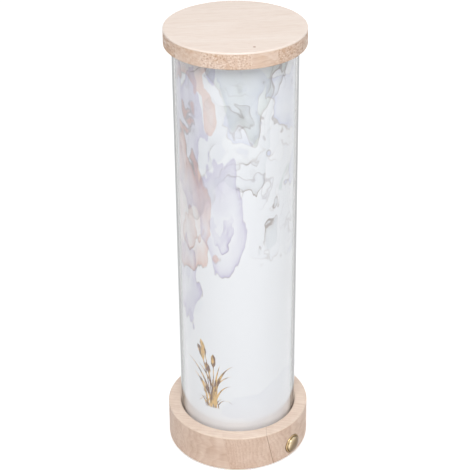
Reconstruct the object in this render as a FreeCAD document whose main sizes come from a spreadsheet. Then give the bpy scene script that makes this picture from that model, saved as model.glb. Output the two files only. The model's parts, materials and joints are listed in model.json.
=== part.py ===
"""Rotating motion lamp: a printed shade turns on a post inside a clear tube, between two wooden discs.

Millimetres, +Z up, origin on the floor under the lamp's axis, front towards -Y.
"""
import FreeCAD, Part
import Sketcher
import math
import os
import re

from FreeCAD import Placement, Rotation, Vector

# Driving dimensions, in millimetres and degrees. Azimuths run from +X towards +Y,
# apart from button_azimuth, which runs from the front towards +X.
SIZES = {
    # Wooden base
    "base_rim": 8.7,
    "base_height": 27,
    "base_edge_round": 0.8,
    "ledge_width": 7.5,
    "recess_depth": 8,
    "recess_clearance": 0.3,
    "recess_chamfer": 0.7,
    "foot_height": 1.5,
    "foot_radius": 5,
    "foot_inset": 6,
    "foot_azimuth": 73,
    # Bottom cover
    "cover_lap": 8.5,
    "cover_thickness": 2,
    "cover_clearance": 0.3,
    "cover_screw_inset": 4.2,
    "cover_screw_azimuth": 28,
    # Clear tube, with the lid over its upper end
    "tube_radius": 40,
    "tube_wall": 2,
    "tube_length": 282,
    "lid_rim": 4.7,
    "lid_height": 11,
    "lid_recess_depth": 5,
    "lid_clearance": 0.3,
    "lid_edge_round": 0.9,
    # Deck over the base cavity
    "deck_thickness": 2,
    "deck_clearance": 0.4,
    "deck_screw_inset": 2.6,
    "deck_screw_azimuth": 10,
    # Fixed post and its pivot pin
    "post_radius": 5,
    "post_bore": 3.5,
    "post_drop": 13,
    "post_flange_radius": 11.5,
    "post_flange_thickness": 2,
    "post_screw_circle": 8.8,
    "post_screw_gap": 0.1,
    "post_screw_azimuth": 55,
    "wire_hole_radius": 1.5,
    "wire_hole_rise": 7,
    "pin_radius": 2,
    "pin_shoulder": 1,
    "pin_plug_length": 10,
    "pin_end": 2.9,
    "clip_gap": 0.5,
    "clip_thickness": 0.6,
    "clip_radius": 3.6,
    "clip_groove_depth": 0.4,
    "clip_mouth": 2.6,
    # Gears
    "pressure_angle": 20,
    "tooth_backlash": 0.14,
    "gear_height": 4.5,
    "pinion_side_gap": 0.3,
    # Turntable
    "washer_thickness": 0.5,
    "washer_radius": 6.5,
    "running_clearance": 0.05,
    "turntable_thickness": 2,
    "turntable_hub_radius": 8,
    "turntable_hub_height": 6.5,
    "turntable_band": 1.5,
    "turntable_band_rise": 2,
    "turntable_screw_offset": 3.5,
    "turntable_screw_length": 5,
    # Printed shade and the spider that steadies it
    "shade_gap": 0.8,
    "shade_thickness": 0.4,
    "shade_drop": 0.5,
    "shade_top_gap": 3.5,
    "shade_seat_clearance": 0.05,
    "spider_band": 1.5,
    "spider_band_height": 8,
    "spoke_width": 4,
    "spoke_thickness": 2.5,
    "spider_hub_radius": 7,
    "spider_hub_height": 6.5,
    "bush_radius": 4,
    "bush_height": 6.5,
    "bush_rise": 1,
    # Light column
    "column_gap": 0.5,
    "column_drop": 19.5,
    "column_foot_height": 6,
    "column_lip": 0.8,
    "column_spigot": 2,
    "diffuser_radius": 13.2,
    "diffuser_wall": 1.2,
    "carrier_side": 14,
    "carrier_gap": 9.5,
    "carrier_top_gap": 12.5,
    "strip_width": 10,
    "strip_thickness": 1,
    "led_length": 3.5,
    "led_width": 2.8,
    "led_height": 0.7,
    "led_pitch": 21,
    # Gear motor
    "motor_azimuth": 205,
    "motor_wall_gap": 1,
    "motor_radius": 12,
    "motor_height": 14,
    "shaft_offset": 4.5,
    "shaft_radius": 2.5,
    "shaft_flat": 1.9,
    "shaft_engagement": 8,
    "shaft_end_gap": 1,
    "boss_radius": 4.5,
    "ear_reach": 3.5,
    "ear_width": 7,
    "ear_thickness": 1,
    "motor_edge_round": 1,
    "wire_block_length": 9,
    "wire_block_height": 9,
    "wire_block_reach": 2.5,
    # Push switch in the side of the base
    "button_azimuth": 50.75,
    "switch_floor_gap": 0.75,
    "switch_roof_gap": 1.25,
    "spotface_clearance": 0.2,
    "spotface_depth": 1.2,
    "bezel_radius": 7,
    "bezel_thickness": 1.8,
    "bezel_well_radius": 5.3,
    "bezel_well_depth": 1.3,
    "bezel_edge": 0.5,
    "barrel_radius": 5,
    "barrel_length": 10,
    "barrel_hole_clearance": 0.15,
    "barrel_guide_length": 3,
    "spring_chamber_radius": 4.2,
    "switch_wall": 4.5,
    "switch_pocket_width": 18,
    "nut_across_flats": 12,
    "nut_thickness": 2.2,
    "button_travel": 1,
    "button_radius": 5.2,
    "button_side": 0.6,
    "button_dome": 1.4,
    "stem_radius": 3,
    "stem_clip_radius": 3.9,
    "stem_clip_thickness": 0.8,
    "stem_groove_depth": 0.6,
    "stem_gap": 0.6,
    "spring_radius": 3.3,
    "spring_wire": 0.4,
    "spring_seat_gap": 0.1,
    "spring_turns": 5,
    "plunger_radius": 1.5,
    "plunger_length": 3,
    "plunger_clearance": 0.1,
    "plunger_margin": 0.2,
    "switch_spigot": 1,
    "switch_radius": 6,
    "switch_length": 6.5,
    "terminal_width": 2.4,
    "terminal_thickness": 0.5,
    "terminal_length": 3.5,
    "terminal_spacing": 6,
    # Power inlet at the back
    "inlet_height": 9.5,
    "plug_recess_width": 14,
    "plug_recess_height": 8,
    "plug_recess_depth": 9,
    "plug_recess_corner": 2.5,
    "inlet_web": 2,
    "socket_width": 9,
    "socket_height": 3.2,
    "socket_length": 7.4,
    "socket_wall": 0.3,
    "socket_tongue": 0.7,
    "socket_tongue_length": 5.4,
    "socket_tongue_width": 6.7,
    "socket_back": 1,
    "socket_corner": 1.2,
    "socket_clearance": 0.1,
    "board_width": 24,
    "board_length": 24,
    "board_thickness": 1.6,
    "board_side_gap": 1.5,
    "board_roof_gap": 0.6,
    "board_edge_gap": 1,
    "board_screw_inset": 3,
    "board_post_radius": 2.5,
    "board_screw_length": 4,
    "chip_side": 5,
    "chip_height": 1.2,
    "coil_side": 6,
    "coil_height": 3,
    "capacitor_radius": 2.5,
    "capacitor_height": 4.5,
    "chip_place": 5,
    "coil_place": 8,
    "capacitor_place": 9,
    "capacitor_pitch": 6,
    # Rechargeable cell
    "cell_length": 21,
    "cell_width": 15,
    "cell_thickness": 8,
    "cell_corner": 1.5,
    "cell_motor_gap": 4,
    "cell_board_gap": 3,
    "cell_pad_thickness": 0.8,
    # Insulated wires
    "lead_radius": 0.55,
    "lead_bend": 3,
    "lead_landing": 1.5,
    "lead_spacing": 1.6,
    "cell_lead_place": 4.7,
    "cell_lead_drop": 1.6,
    "motor_lead_place": -4,
    "motor_lead_gap": 0.8,
    "motor_lead_step": 2,
    "motor_lead_exit": 1.5,
    "strip_lead_place": 0.9,
    "strip_lead_drop": 4.5,
    "strip_lead_offset": 0.7,
    "switch_lead_place": 4.2,
    "switch_lead_spacing": 3.3,
    "switch_lead_landing": 6,
    "switch_lead_rise": 2.2,
    "switch_lead_run": 3,
    # Screws
    "wood_screw_radius": 1.3,
    "wood_screw_head": 2.6,
    "wood_screw_length": 9,
    "small_screw_radius": 1,
    "small_screw_head": 1.9,
    "deck_screw_length": 6,
    "pan_head_height": 1.5,
    "screw_clearance": 0.1,
    "cross_slot_width": 0.6,
    "cross_slot_depth": 0.7,
    "cross_slot_share": 1.2,
    # How far a cutter runs past the face it starts from
    "cut_overrun": 1,
}

# Counts, which change what is there rather than how large it is.
GEAR_TEETH = 45
PINION_TEETH = 15
SPOKES = 3
FEET = 4
COVER_SCREWS = 4
DECK_SCREWS = 3
POST_SCREWS = 3
TURNTABLE_SCREWS = 3
TURNTABLE_SCREW_AZIMUTH = 60
STRIPS = 4
LEDS_PER_STRIP = 9

# A standard gear tooth reaches this many modules inside the pitch circle.
DEDENDUM = 1.25

# Heights and lengths that follow from the driving dimensions.
LEVELS = {
    "recess_radius": "tube_radius + recess_clearance",
    "base_radius": "recess_radius + base_rim",
    "lid_recess_radius": "tube_radius + lid_clearance",
    "lid_radius": "lid_recess_radius + lid_rim",
    "tube_inside": "tube_radius - tube_wall",
    "cavity_radius": "tube_radius - ledge_width",
    "cover_radius": "cavity_radius + cover_lap",
    "cover_screw_circle": "cover_radius - cover_screw_inset",
    "foot_circle": "cover_radius - foot_inset",
    "deck_radius": "tube_inside - deck_clearance",
    "deck_screw_circle": "deck_radius - deck_screw_inset",
    "base_bottom": "foot_height",
    "cover_top": "foot_height + cover_thickness",
    "ledge": "foot_height + base_height - recess_depth",
    "base_top": "foot_height + base_height",
    "deck_top": "ledge + deck_thickness",
    "tube_top": "ledge + tube_length",
    "lid_bottom": "tube_top - lid_recess_depth",
    "lid_top": "lid_bottom + lid_height",
    "flange_top": "deck_top + post_flange_thickness",
    "post_screw_length": "post_flange_thickness + deck_thickness - post_screw_gap",
    "gear_bottom": "flange_top + washer_thickness",
    "gear_top": "gear_bottom + gear_height",
    "disc_top": "gear_top + turntable_thickness",
    "band_top": "disc_top + turntable_band_rise",
    "hub_top": "gear_top + turntable_hub_height",
    "turntable_screw_circle": "turntable_hub_radius + turntable_screw_offset",
    "shade_bottom": "gear_bottom - shade_drop",
    "shade_top": "tube_top - shade_top_gap",
    "shade_radius": "tube_inside - shade_gap",
    "shade_inside": "shade_radius - shade_thickness",
    "band_radius": "shade_inside - shade_seat_clearance",
    "spider_bottom": "shade_top - spider_band_height",
    "post_top": "shade_top - post_drop",
    "shoulder_top": "post_top + pin_shoulder",
    "bush_bottom": "shoulder_top + bush_rise",
    "clip_bottom": "bush_bottom + bush_height + clip_gap",
    "clip_top": "clip_bottom + clip_thickness",
    "pin_top": "clip_top + pin_end",
    "column_bottom": "hub_top + column_gap",
    "diffuser_bottom": "column_bottom + column_foot_height - column_spigot",
    "diffuser_top": "post_top - column_drop",
    "diffuser_length": "diffuser_top - diffuser_bottom",
    "diffuser_inside": "diffuser_radius - diffuser_wall",
    "column_foot_radius": "diffuser_radius + column_lip",
    "wire_hole": "diffuser_bottom + wire_hole_rise",
    "carrier_bottom": "diffuser_bottom + carrier_gap",
    "carrier_length": "diffuser_length - carrier_gap - carrier_top_gap",
    "motor_distance": "cavity_radius - motor_radius - motor_wall_gap",
    "motor_x": "motor_distance * cos(motor_azimuth)",
    "motor_y": "motor_distance * sin(motor_azimuth)",
    "motor_bottom": "ledge - motor_height",
    "motor_screw_length": "ear_thickness + deck_thickness",
    "gear_distance": "motor_distance + shaft_offset",
    "shaft_x": "gear_distance * cos(motor_azimuth)",
    "shaft_y": "gear_distance * sin(motor_azimuth)",
    "gear_module": f"2 * gear_distance / {GEAR_TEETH + PINION_TEETH}",
    "ear_spread": "2 * (motor_radius + ear_reach)",
    "ear_x": "-0.5 * ear_spread * sin(motor_azimuth)",
    "ear_y": "0.5 * ear_spread * cos(motor_azimuth)",
    "post_running_bore": "post_radius + running_clearance",
    "switch_level": "cover_top + switch_floor_gap + switch_radius",
    "switch_pocket_height": "switch_floor_gap + 2 * switch_radius + switch_roof_gap",
    "spotface_radius": "bezel_radius + spotface_clearance",
    "bezel_seat": "base_radius - spotface_depth",
    "bezel_face": "bezel_seat + bezel_thickness",
    "well_floor": "bezel_face - bezel_well_depth",
    "guide_end": "well_floor - barrel_guide_length",
    "barrel_end": "bezel_seat - barrel_length",
    "button_under": "well_floor + button_travel",
    "switch_front": "barrel_end + switch_spigot",
    "switch_back": "barrel_end - switch_length",
    "stem_clip_inner": "guide_end - stem_clip_thickness",
    "stem_end": "switch_front + button_travel + stem_gap",
    "plunger_well": "stem_end - plunger_length - button_travel - plunger_margin",
    "pocket_face": "bezel_seat - switch_wall",
    "plug_recess_floor": "base_radius - plug_recess_depth",
    "inlet_level": "foot_height + inlet_height",
    "board_top": "inlet_level - 0.5 * socket_height",
    "board_bottom": "board_top - board_thickness",
    "board_front": "plug_recess_floor - inlet_web",
    "board_back": "board_front - board_length",
    "board_pocket_width": "board_width + 2 * board_side_gap",
    "board_pocket_height": "board_top + capacitor_height + board_roof_gap - cover_top",
    "cell_bottom": "cover_top + cell_pad_thickness",
    "cell_top": "cell_bottom + cell_thickness",
    "cell_left": "motor_x + motor_radius + cell_motor_gap",
    "cell_back": "board_back - cell_board_gap",
}

doc = FreeCAD.newDocument("MotionLamp")
made = []


def fill_sheet(name, cells):
    """Make a sheet with one named cell for each entry."""
    sheet = doc.addObject("Spreadsheet::Sheet", name)
    for row, (alias, content) in enumerate(cells.items(), start=1):
        sheet.set(f"A{row}", alias)
        sheet.setAlias(f"B{row}", alias)
        sheet.set(f"B{row}", content)
    doc.recompute()
    return sheet


def linked(expression):
    """Point every size named in an expression at its sheet."""
    def point(match):
        word = match.group(0)
        if word in SIZES:
            return "Sizes." + word
        if word in LEVELS:
            return "Levels." + word
        return word
    return re.sub(r"[a-z_]{3,}", point, str(expression))


sizes = fill_sheet("Sizes", {alias: str(number) for alias, number in SIZES.items()})
levels = fill_sheet("Levels", {alias: "=" + linked(formula).replace("Levels.", "")
                               for alias, formula in LEVELS.items()})


def size(name):
    """The number in a named cell, for shapes that no feature can bind."""
    sheet = sizes if name in SIZES else levels
    return float(sheet.get(name))


def worth(thing, formula):
    """What a formula of named sizes comes to."""
    return float(thing.evalExpression(linked(formula)))


def bind(thing, **formulas):
    """Bind properties to formulas of named sizes."""
    for prop, formula in formulas.items():
        thing.setExpression(prop, linked(formula))


def place(thing, x=0, y=0, z=0, turn=None):
    """Bind an object's place, and its turn about +Z."""
    for axis, formula in (("x", x), ("y", y), ("z", z)):
        if formula != 0:
            thing.setExpression("Placement.Base." + axis, linked(formula))
    if turn is not None:
        thing.setExpression("Placement.Rotation.Angle", linked(turn))


def keep(thing, label):
    """Name a finished sub-part and put it on the list to export."""
    thing.Label = label
    made.append(thing)
    return thing


def new_body(label):
    """An empty PartDesign body that will be exported."""
    return keep(doc.addObject("PartDesign::Body", "Body"), label)


def origin_of(body, role):
    """One of the body's own origin planes or axes."""
    return next(item for item in body.Origin.OriginFeatures if item.Role == role)


def turn_profile(body, corners):
    """Revolve a closed profile of straight lines, given as radius and height, about the body's Z axis."""
    sketch = body.newObject("Sketcher::SketchObject", "Profile")
    sketch.AttachmentSupport = [(origin_of(body, "XZ_Plane"), "")]
    sketch.MapMode = "FlatFace"
    count = len(corners)
    spots = [Vector(worth(sketch, radius), worth(sketch, level), 0) for radius, level in corners]
    for i in range(count):
        sketch.addGeometry(Part.LineSegment(spots[i], spots[(i + 1) % count]), False)
    for i in range(count):
        sketch.addConstraint(Sketcher.Constraint("Coincident", i, 2, (i + 1) % count, 1))
    for i, (radius, level) in enumerate(corners):
        if radius == 0:
            sketch.addConstraint(Sketcher.Constraint("PointOnObject", i, 1, -2))
        else:
            pinned(sketch, "DistanceX", i, spots[i].x, f"radius{i}", radius)
        if level == 0:
            sketch.addConstraint(Sketcher.Constraint("PointOnObject", i, 1, -1))
        else:
            pinned(sketch, "DistanceY", i, spots[i].y, f"level{i}", level)
    turned = body.newObject("PartDesign::Revolution", "Turned")
    turned.Profile = sketch
    turned.ReferenceAxis = (sketch, ["V_Axis"])
    turned.Angle = 360
    doc.recompute()
    return turned


def pinned(sketch, kind, line, start, name, formula):
    """Hold a line's first point at a bound distance from the origin."""
    index = sketch.addConstraint(Sketcher.Constraint(kind, -1, 1, line, 1, start))
    sketch.renameConstraint(index, name)
    sketch.setExpression("Constraints." + name, linked(formula))


def turned_body(label, corners):
    """A body turned from one profile."""
    body = new_body(label)
    turn_profile(body, corners)
    return body


def aim(thing, azimuth, level, x=0, y=0, z=0):
    """Lay an object's Z axis level, pointing outwards at an azimuth from the front.

    x, y and z then shift it sideways, upwards and outwards.
    """
    turn = f"rotation(vector(0; 0; 1); {linked(azimuth)}) * rotation(vector(1; 0; 0); 90)"
    shift = f"vector({linked(x)}; {linked(y)}; {linked(z)})"
    thing.setExpression("Placement", f"placement(vector(0; 0; {linked(level)}); {turn})"
                                     f" * placement({shift}; rotation(vector(0; 0; 1); 0))")


def feature(body, kind, **formulas):
    """Add or cut a primitive in a body, with its sizes bound."""
    tool = body.newObject("PartDesign::" + kind, kind)
    bind(tool, **formulas)
    return tool


def repeat(body, tools, count):
    """Repeat features evenly about the body's Z axis."""
    pattern = body.newObject("PartDesign::PolarPattern", "Pattern")
    pattern.Originals = tools
    pattern.Axis = (origin_of(body, "Z_Axis"), [""])
    pattern.Angle = 360
    pattern.Occurrences = count
    body.Tip = pattern
    return pattern


def round_edges(body, radius, rings):
    """Fillet the body's full circles of the given radii and heights."""
    doc.recompute()
    base = body.Tip
    names = []
    for index, edge in enumerate(base.Shape.Edges, start=1):
        curve = edge.Curve
        if not isinstance(curve, Part.Circle):
            continue
        for ring_radius, ring_level in rings:
            if abs(curve.Radius - ring_radius) < 1e-4 and abs(curve.Center.z - ring_level) < 1e-4:
                names.append(f"Edge{index}")
    fillet = body.newObject("PartDesign::Fillet", "Rounding")
    fillet.Base = (base, names)
    bind(fillet, Radius=radius)
    return fillet


def part(kind, **formulas):
    """A Part primitive with its sizes bound."""
    thing = doc.addObject("Part::" + kind, kind)
    bind(thing, **formulas)
    return thing


def cut(base, tool):
    """One object less another."""
    result = doc.addObject("Part::Cut", "Cut")
    result.Base = base
    result.Tool = tool
    return result


def fused(*things):
    """Several objects made one."""
    result = doc.addObject("Part::MultiFuse", "Fusion")
    result.Shapes = list(things)
    return result


def compound(label, things):
    """Several solids kept apart under one name."""
    result = doc.addObject("Part::Compound", "Group")
    result.Links = things
    return keep(result, label)


def copy_of(master):
    """A linked copy of an object, to be placed by itself."""
    link = doc.addObject("App::Link", "Copy")
    link.LinkedObject = master
    return link


def ring_of(label, master, count, circle, azimuth, level, down=False):
    """Copies of a fastener or foot, evenly spaced on a circle, and upside down where they go in from above."""
    copies = []
    for index in range(count):
        angle = f"({azimuth}) + {index * 360 / count}"
        copies.append(copy_at(master, f"({circle}) * cos({angle})", f"({circle}) * sin({angle})", level, down))
    return compound(label, copies)


def copy_at(master, x, y, level, down=False):
    """A copy at a bound place, upside down where asked."""
    link = copy_of(master)
    flip = 180 if down else 0
    spot = f"vector({linked(x)}; {linked(y)}; {linked(level)})"
    link.setExpression("Placement", f"placement({spot}; rotation(vector(1; 0; 0); {flip}))")
    return link


def screw(name, radius, head, length, sunk=True):
    """A cross-slotted screw that points up from its head at the origin."""
    body = doc.addObject("PartDesign::Body", name)
    body.Label = name
    taper = f"({head}) - ({radius})"
    if sunk:
        turn_profile(body, [(0, 0), (head, 0), (radius, taper), (radius, length), (0, length)])
        top = "0"
    else:
        turn_profile(body, [(0, "-pan_head_height"), (head, "-pan_head_height"), (head, 0), (radius, 0),
                            (radius, length), (0, length)])
        top = "-pan_head_height"
    reach = f"cross_slot_share * ({head})"
    for width, depth in (("cross_slot_width", reach), (reach, "cross_slot_width")):
        slot = feature(body, "SubtractiveBox", Length=width, Width=depth, Height="cross_slot_depth")
        place(slot, x=f"-0.5 * ({width})", y=f"-0.5 * ({depth})", z=top)
    return body


def base_body():
    """The turned wooden base: tube recess above, cavity and cover rebate below."""
    rebate = "cover_radius + cover_clearance"
    body = turned_body("base_body", [
        ("cavity_radius", "cover_top"),
        (rebate, "cover_top"),
        (rebate, "base_bottom"),
        ("base_radius", "base_bottom"),
        ("base_radius", "base_top"),
        ("recess_radius + recess_chamfer", "base_top"),
        ("recess_radius", "base_top - recess_chamfer"),
        ("recess_radius", "ledge"),
        ("cavity_radius", "ledge"),
    ])
    round_edges(body, "base_edge_round", [(size("base_radius"), size("base_bottom")),
                                          (size("base_radius"), size("base_top"))])
    spotface = feature(body, "SubtractiveCylinder", Radius="spotface_radius",
                       Height="spotface_depth + cut_overrun")
    aim(spotface, "button_azimuth", "switch_level", z="bezel_seat")
    hole = feature(body, "SubtractiveCylinder", Radius="barrel_radius + barrel_hole_clearance",
                   Height="base_radius - cavity_radius")
    aim(hole, "button_azimuth", "switch_level", z="cavity_radius")
    pocket_from = "sqrt(cavity_radius^2 - 0.25 * switch_pocket_width^2)"
    pocket = feature(body, "SubtractiveBox", Length="switch_pocket_width", Width="switch_pocket_height",
                     Height=f"pocket_face - {pocket_from}")
    aim(pocket, "button_azimuth", "cover_top", x="-0.5 * switch_pocket_width", z=pocket_from)
    recess_for_plug(body)
    board_from = "sqrt(cavity_radius^2 - 0.25 * board_pocket_width^2)"
    board_pocket = feature(body, "SubtractiveBox", Length="board_pocket_width", Width="board_pocket_height",
                           Height=f"board_front - {board_from}")
    aim(board_pocket, 180, "cover_top", x="-0.5 * board_pocket_width", z=board_from)
    slot_width = "(socket_width + 2 * socket_clearance)"
    slot_height = "(socket_height + 2 * socket_clearance)"
    slot = feature(body, "SubtractiveBox", Length=slot_width, Width=slot_height,
                   Height="inlet_web + 2 * cut_overrun")
    aim(slot, 180, "inlet_level", x=f"-0.5 * {slot_width}", y=f"-0.5 * {slot_height}",
        z="board_front - cut_overrun")
    pilot = feature(body, "SubtractiveCylinder", Radius="wood_screw_radius",
                    Height="wood_screw_length - cover_thickness")
    place(pilot, x="cover_screw_circle * cos(cover_screw_azimuth)",
          y="cover_screw_circle * sin(cover_screw_azimuth)", z="cover_top")
    repeat(body, [pilot], COVER_SCREWS)
    deck_pilot = feature(body, "SubtractiveCylinder", Radius="small_screw_radius",
                         Height="deck_screw_length - deck_thickness")
    place(deck_pilot, x="deck_screw_circle * cos(deck_screw_azimuth)",
          y="deck_screw_circle * sin(deck_screw_azimuth)", z="deck_top - deck_screw_length")
    repeat(body, [deck_pilot], DECK_SCREWS)
    return body


def recess_for_plug(body):
    """Cut the round-cornered recess that takes a power plug's moulding."""
    inner_width = "(plug_recess_width - 2 * plug_recess_corner)"
    inner_height = "(plug_recess_height - 2 * plug_recess_corner)"
    depth = "base_radius - plug_recess_floor"
    for width, height in (("plug_recess_width", inner_height), (inner_width, "plug_recess_height")):
        box = feature(body, "SubtractiveBox", Length=width, Width=height, Height=depth)
        aim(box, 180, "inlet_level", x=f"-0.5 * {width}", y=f"-0.5 * {height}", z="plug_recess_floor")
    for side in (-0.5, 0.5):
        for rise in (-0.5, 0.5):
            corner = feature(body, "SubtractiveCylinder", Radius="plug_recess_corner", Height=depth)
            aim(corner, 180, "inlet_level", x=f"{side} * {inner_width}", y=f"{rise} * {inner_height}",
                z="plug_recess_floor")


def sunk_holes(body, circle, azimuth, level, count, radius, head, length, down=True):
    """Countersunk holes on a circle, for screws whose heads lie flush with the level."""
    x = f"({circle}) * cos({azimuth})"
    y = f"({circle}) * sin({azimuth})"
    taper = f"(({head}) - ({radius}))"
    shank = feature(body, "SubtractiveCylinder", Radius=radius, Height=length)
    sink = feature(body, "SubtractiveCone", Radius1=radius if down else head, Radius2=head if down else radius,
                   Height=taper)
    place(shank, x=x, y=y, z=f"{level} - ({length})" if down else level)
    place(sink, x=x, y=y, z=f"{level} - {taper}" if down else level)
    return repeat(body, [shank, sink], count)


def bottom_cover():
    """The round plate that closes the base, with two posts for the control board."""
    body = turned_body("bottom_cover", [(0, "base_bottom"), ("cover_radius", "base_bottom"),
                                        ("cover_radius", "cover_top"), (0, "cover_top")])
    for side in (-1, 1):
        x = f"{side} * (0.5 * board_width - board_screw_inset)"
        y = "board_back + board_screw_inset"
        post = feature(body, "AdditiveCylinder", Radius="board_post_radius",
                       Height="board_bottom - base_bottom")
        place(post, x=x, y=y, z="base_bottom")
        pilot = feature(body, "SubtractiveCylinder", Radius="small_screw_radius", Height="board_screw_length")
        place(pilot, x=x, y=y, z="board_top - board_screw_length")
    sunk_holes(body, "cover_screw_circle", "cover_screw_azimuth", "base_bottom", COVER_SCREWS,
               "wood_screw_radius", "wood_screw_head", "cover_thickness + cut_overrun", down=False)
    return body


def rubber_feet():
    """Stick-on feet under the cover."""
    master = part("Cylinder", Radius="foot_radius", Height="foot_height")
    return ring_of("rubber_feet", master, FEET, "foot_circle", "foot_azimuth", 0)


def clear_tube():
    """The clear outer tube, standing in the base recess."""
    return turned_body("clear_tube", [("tube_inside", "ledge"), ("tube_radius", "ledge"),
                                      ("tube_radius", "tube_top"), ("tube_inside", "tube_top")])


def lid():
    """The wooden lid, recessed to slip over the tube."""
    body = turned_body("lid", [(0, "tube_top"), ("lid_recess_radius", "tube_top"),
                               ("lid_recess_radius", "lid_bottom"), ("lid_radius", "lid_bottom"),
                               ("lid_radius", "lid_top"), (0, "lid_top")])
    round_edges(body, "lid_edge_round", [(size("lid_radius"), size("lid_bottom")),
                                         (size("lid_radius"), size("lid_top"))])
    return body


def deck_plate():
    """The plate over the cavity that carries the motor below and the post above."""
    body = turned_body("deck_plate", [("post_bore", "ledge"), ("deck_radius", "ledge"),
                                      ("deck_radius", "deck_top"), ("post_bore", "deck_top")])
    boss_hole = feature(body, "SubtractiveCylinder", Radius="boss_radius + screw_clearance",
                        Height="deck_thickness")
    place(boss_hole, x="shaft_x", y="shaft_y", z="ledge")
    for side in (-1, 1):
        ear_hole = feature(body, "SubtractiveCylinder", Radius="small_screw_radius", Height="deck_thickness")
        place(ear_hole, x=f"motor_x + {side} * ear_x", y=f"motor_y + {side} * ear_y", z="ledge")
    sunk_holes(body, "deck_screw_circle", "deck_screw_azimuth", "deck_top", DECK_SCREWS,
               "small_screw_radius", "small_screw_head", "deck_thickness")
    pilot = feature(body, "SubtractiveCylinder", Radius="small_screw_radius", Height="deck_thickness")
    place(pilot, x="post_screw_circle * cos(post_screw_azimuth)",
          y="post_screw_circle * sin(post_screw_azimuth)", z="ledge")
    repeat(body, [pilot], POST_SCREWS)
    return body


def centre_post():
    """The fixed hollow post on its flange, with a side hole for the light column's leads."""
    body = turned_body("centre_post", [
        ("post_bore", "deck_top"),
        ("post_flange_radius", "deck_top"),
        ("post_flange_radius", "flange_top"),
        ("post_radius", "flange_top"),
        ("post_radius", "post_top"),
        ("post_bore", "post_top"),
    ])
    side_hole = feature(body, "SubtractiveCylinder", Radius="wire_hole_radius",
                        Height="post_radius + cut_overrun")
    aim(side_hole, 0, "wire_hole")
    sunk_holes(body, "post_screw_circle", "post_screw_azimuth", "flange_top", POST_SCREWS,
               "small_screw_radius", "small_screw_head", "post_flange_thickness")
    return body


def pivot_pin():
    """The plug and pin in the post's upper end."""
    groove = "pin_radius - clip_groove_depth"
    return turned_body("pivot_pin", [
        (0, "post_top - pin_plug_length"),
        ("post_bore", "post_top - pin_plug_length"),
        ("post_bore", "post_top"),
        ("post_radius", "post_top"),
        ("post_radius", "shoulder_top"),
        ("pin_radius", "shoulder_top"),
        ("pin_radius", "clip_bottom"),
        (groove, "clip_bottom"),
        (groove, "clip_top"),
        ("pin_radius", "clip_top"),
        ("pin_radius", "pin_top"),
        (0, "pin_top"),
    ])


def retaining_clip():
    """The open clip in the pin's groove, over the spider's hub."""
    ring = ring_tool("pin_radius - clip_groove_depth", "clip_radius", "clip_bottom", "clip_thickness")
    mouth = part("Box", Length="clip_mouth", Width="clip_radius", Height="clip_thickness")
    place(mouth, x="-0.5 * clip_mouth", z="clip_bottom")
    return keep(cut(ring, mouth), "retaining_clip")


def ring_tool(inner, outer, level, height):
    """A plain ring standing on a level."""
    outside = part("Cylinder", Radius=outer, Height=height)
    place(outside, z=level)
    inside = part("Cylinder", Radius=inner, Height=height)
    place(inside, z=level)
    return cut(outside, inside)


def thrust_washer():
    """The low-friction washer that the shade's gear rests on."""
    return keep(ring_tool("post_radius + running_clearance", "washer_radius", "flange_top", "washer_thickness"),
                "thrust_washer")


def gear_outline(teeth, first_angle):
    """One closed wire round an involute gear, with a tooth centred on the first angle."""
    module = size("gear_module")
    pressure = math.radians(size("pressure_angle"))
    pitch = 0.5 * module * teeth
    base = pitch * math.cos(pressure)
    tip = pitch + module
    root = pitch - DEDENDUM * module
    start = max(base, root)
    half_tooth = math.pi / (2 * teeth) - 0.5 * size("tooth_backlash") / pitch
    half_tooth += math.tan(pressure) - pressure

    def flank(radius, side):
        slope = math.acos(min(1, base / radius))
        angle = half_tooth - (math.tan(slope) - slope)
        return side * angle

    def spot(radius, angle):
        return Vector(radius * math.cos(angle), radius * math.sin(angle), 0)

    edges = []
    steps = 6
    for tooth in range(teeth):
        middle = first_angle + 2 * math.pi * tooth / teeth
        following = middle + 2 * math.pi / teeth
        radii = [start + (tip - start) * step / steps for step in range(steps + 1)]
        rising = [spot(radius, middle + flank(radius, -1)) for radius in radii]
        falling = [spot(radius, middle + flank(radius, 1)) for radius in reversed(radii)]
        foot_out = middle + flank(start, 1)
        foot_in = following + flank(start, -1)
        if root < start:
            edges.append(Part.LineSegment(spot(root, middle + flank(start, -1)), rising[0]).toShape())
        edges.append(smooth_edge(rising))
        edges.append(Part.Arc(rising[-1], spot(tip, middle), falling[0]).toShape())
        edges.append(smooth_edge(falling))
        if root < start:
            edges.append(Part.LineSegment(falling[-1], spot(root, foot_out)).toShape())
        edges.append(Part.Arc(spot(root, foot_out), spot(root, 0.5 * (foot_out + foot_in)),
                              spot(root, foot_in)).toShape())
    return Part.Wire(edges)


def smooth_edge(points):
    """A spline through points."""
    curve = Part.BSplineCurve()
    curve.interpolate(points)
    return curve.toShape()


def toothed_disc(teeth, first_angle, height):
    """A plain spur gear standing at the origin."""
    return Part.Face(gear_outline(teeth, first_angle)).extrude(Vector(0, 0, height))


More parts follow.
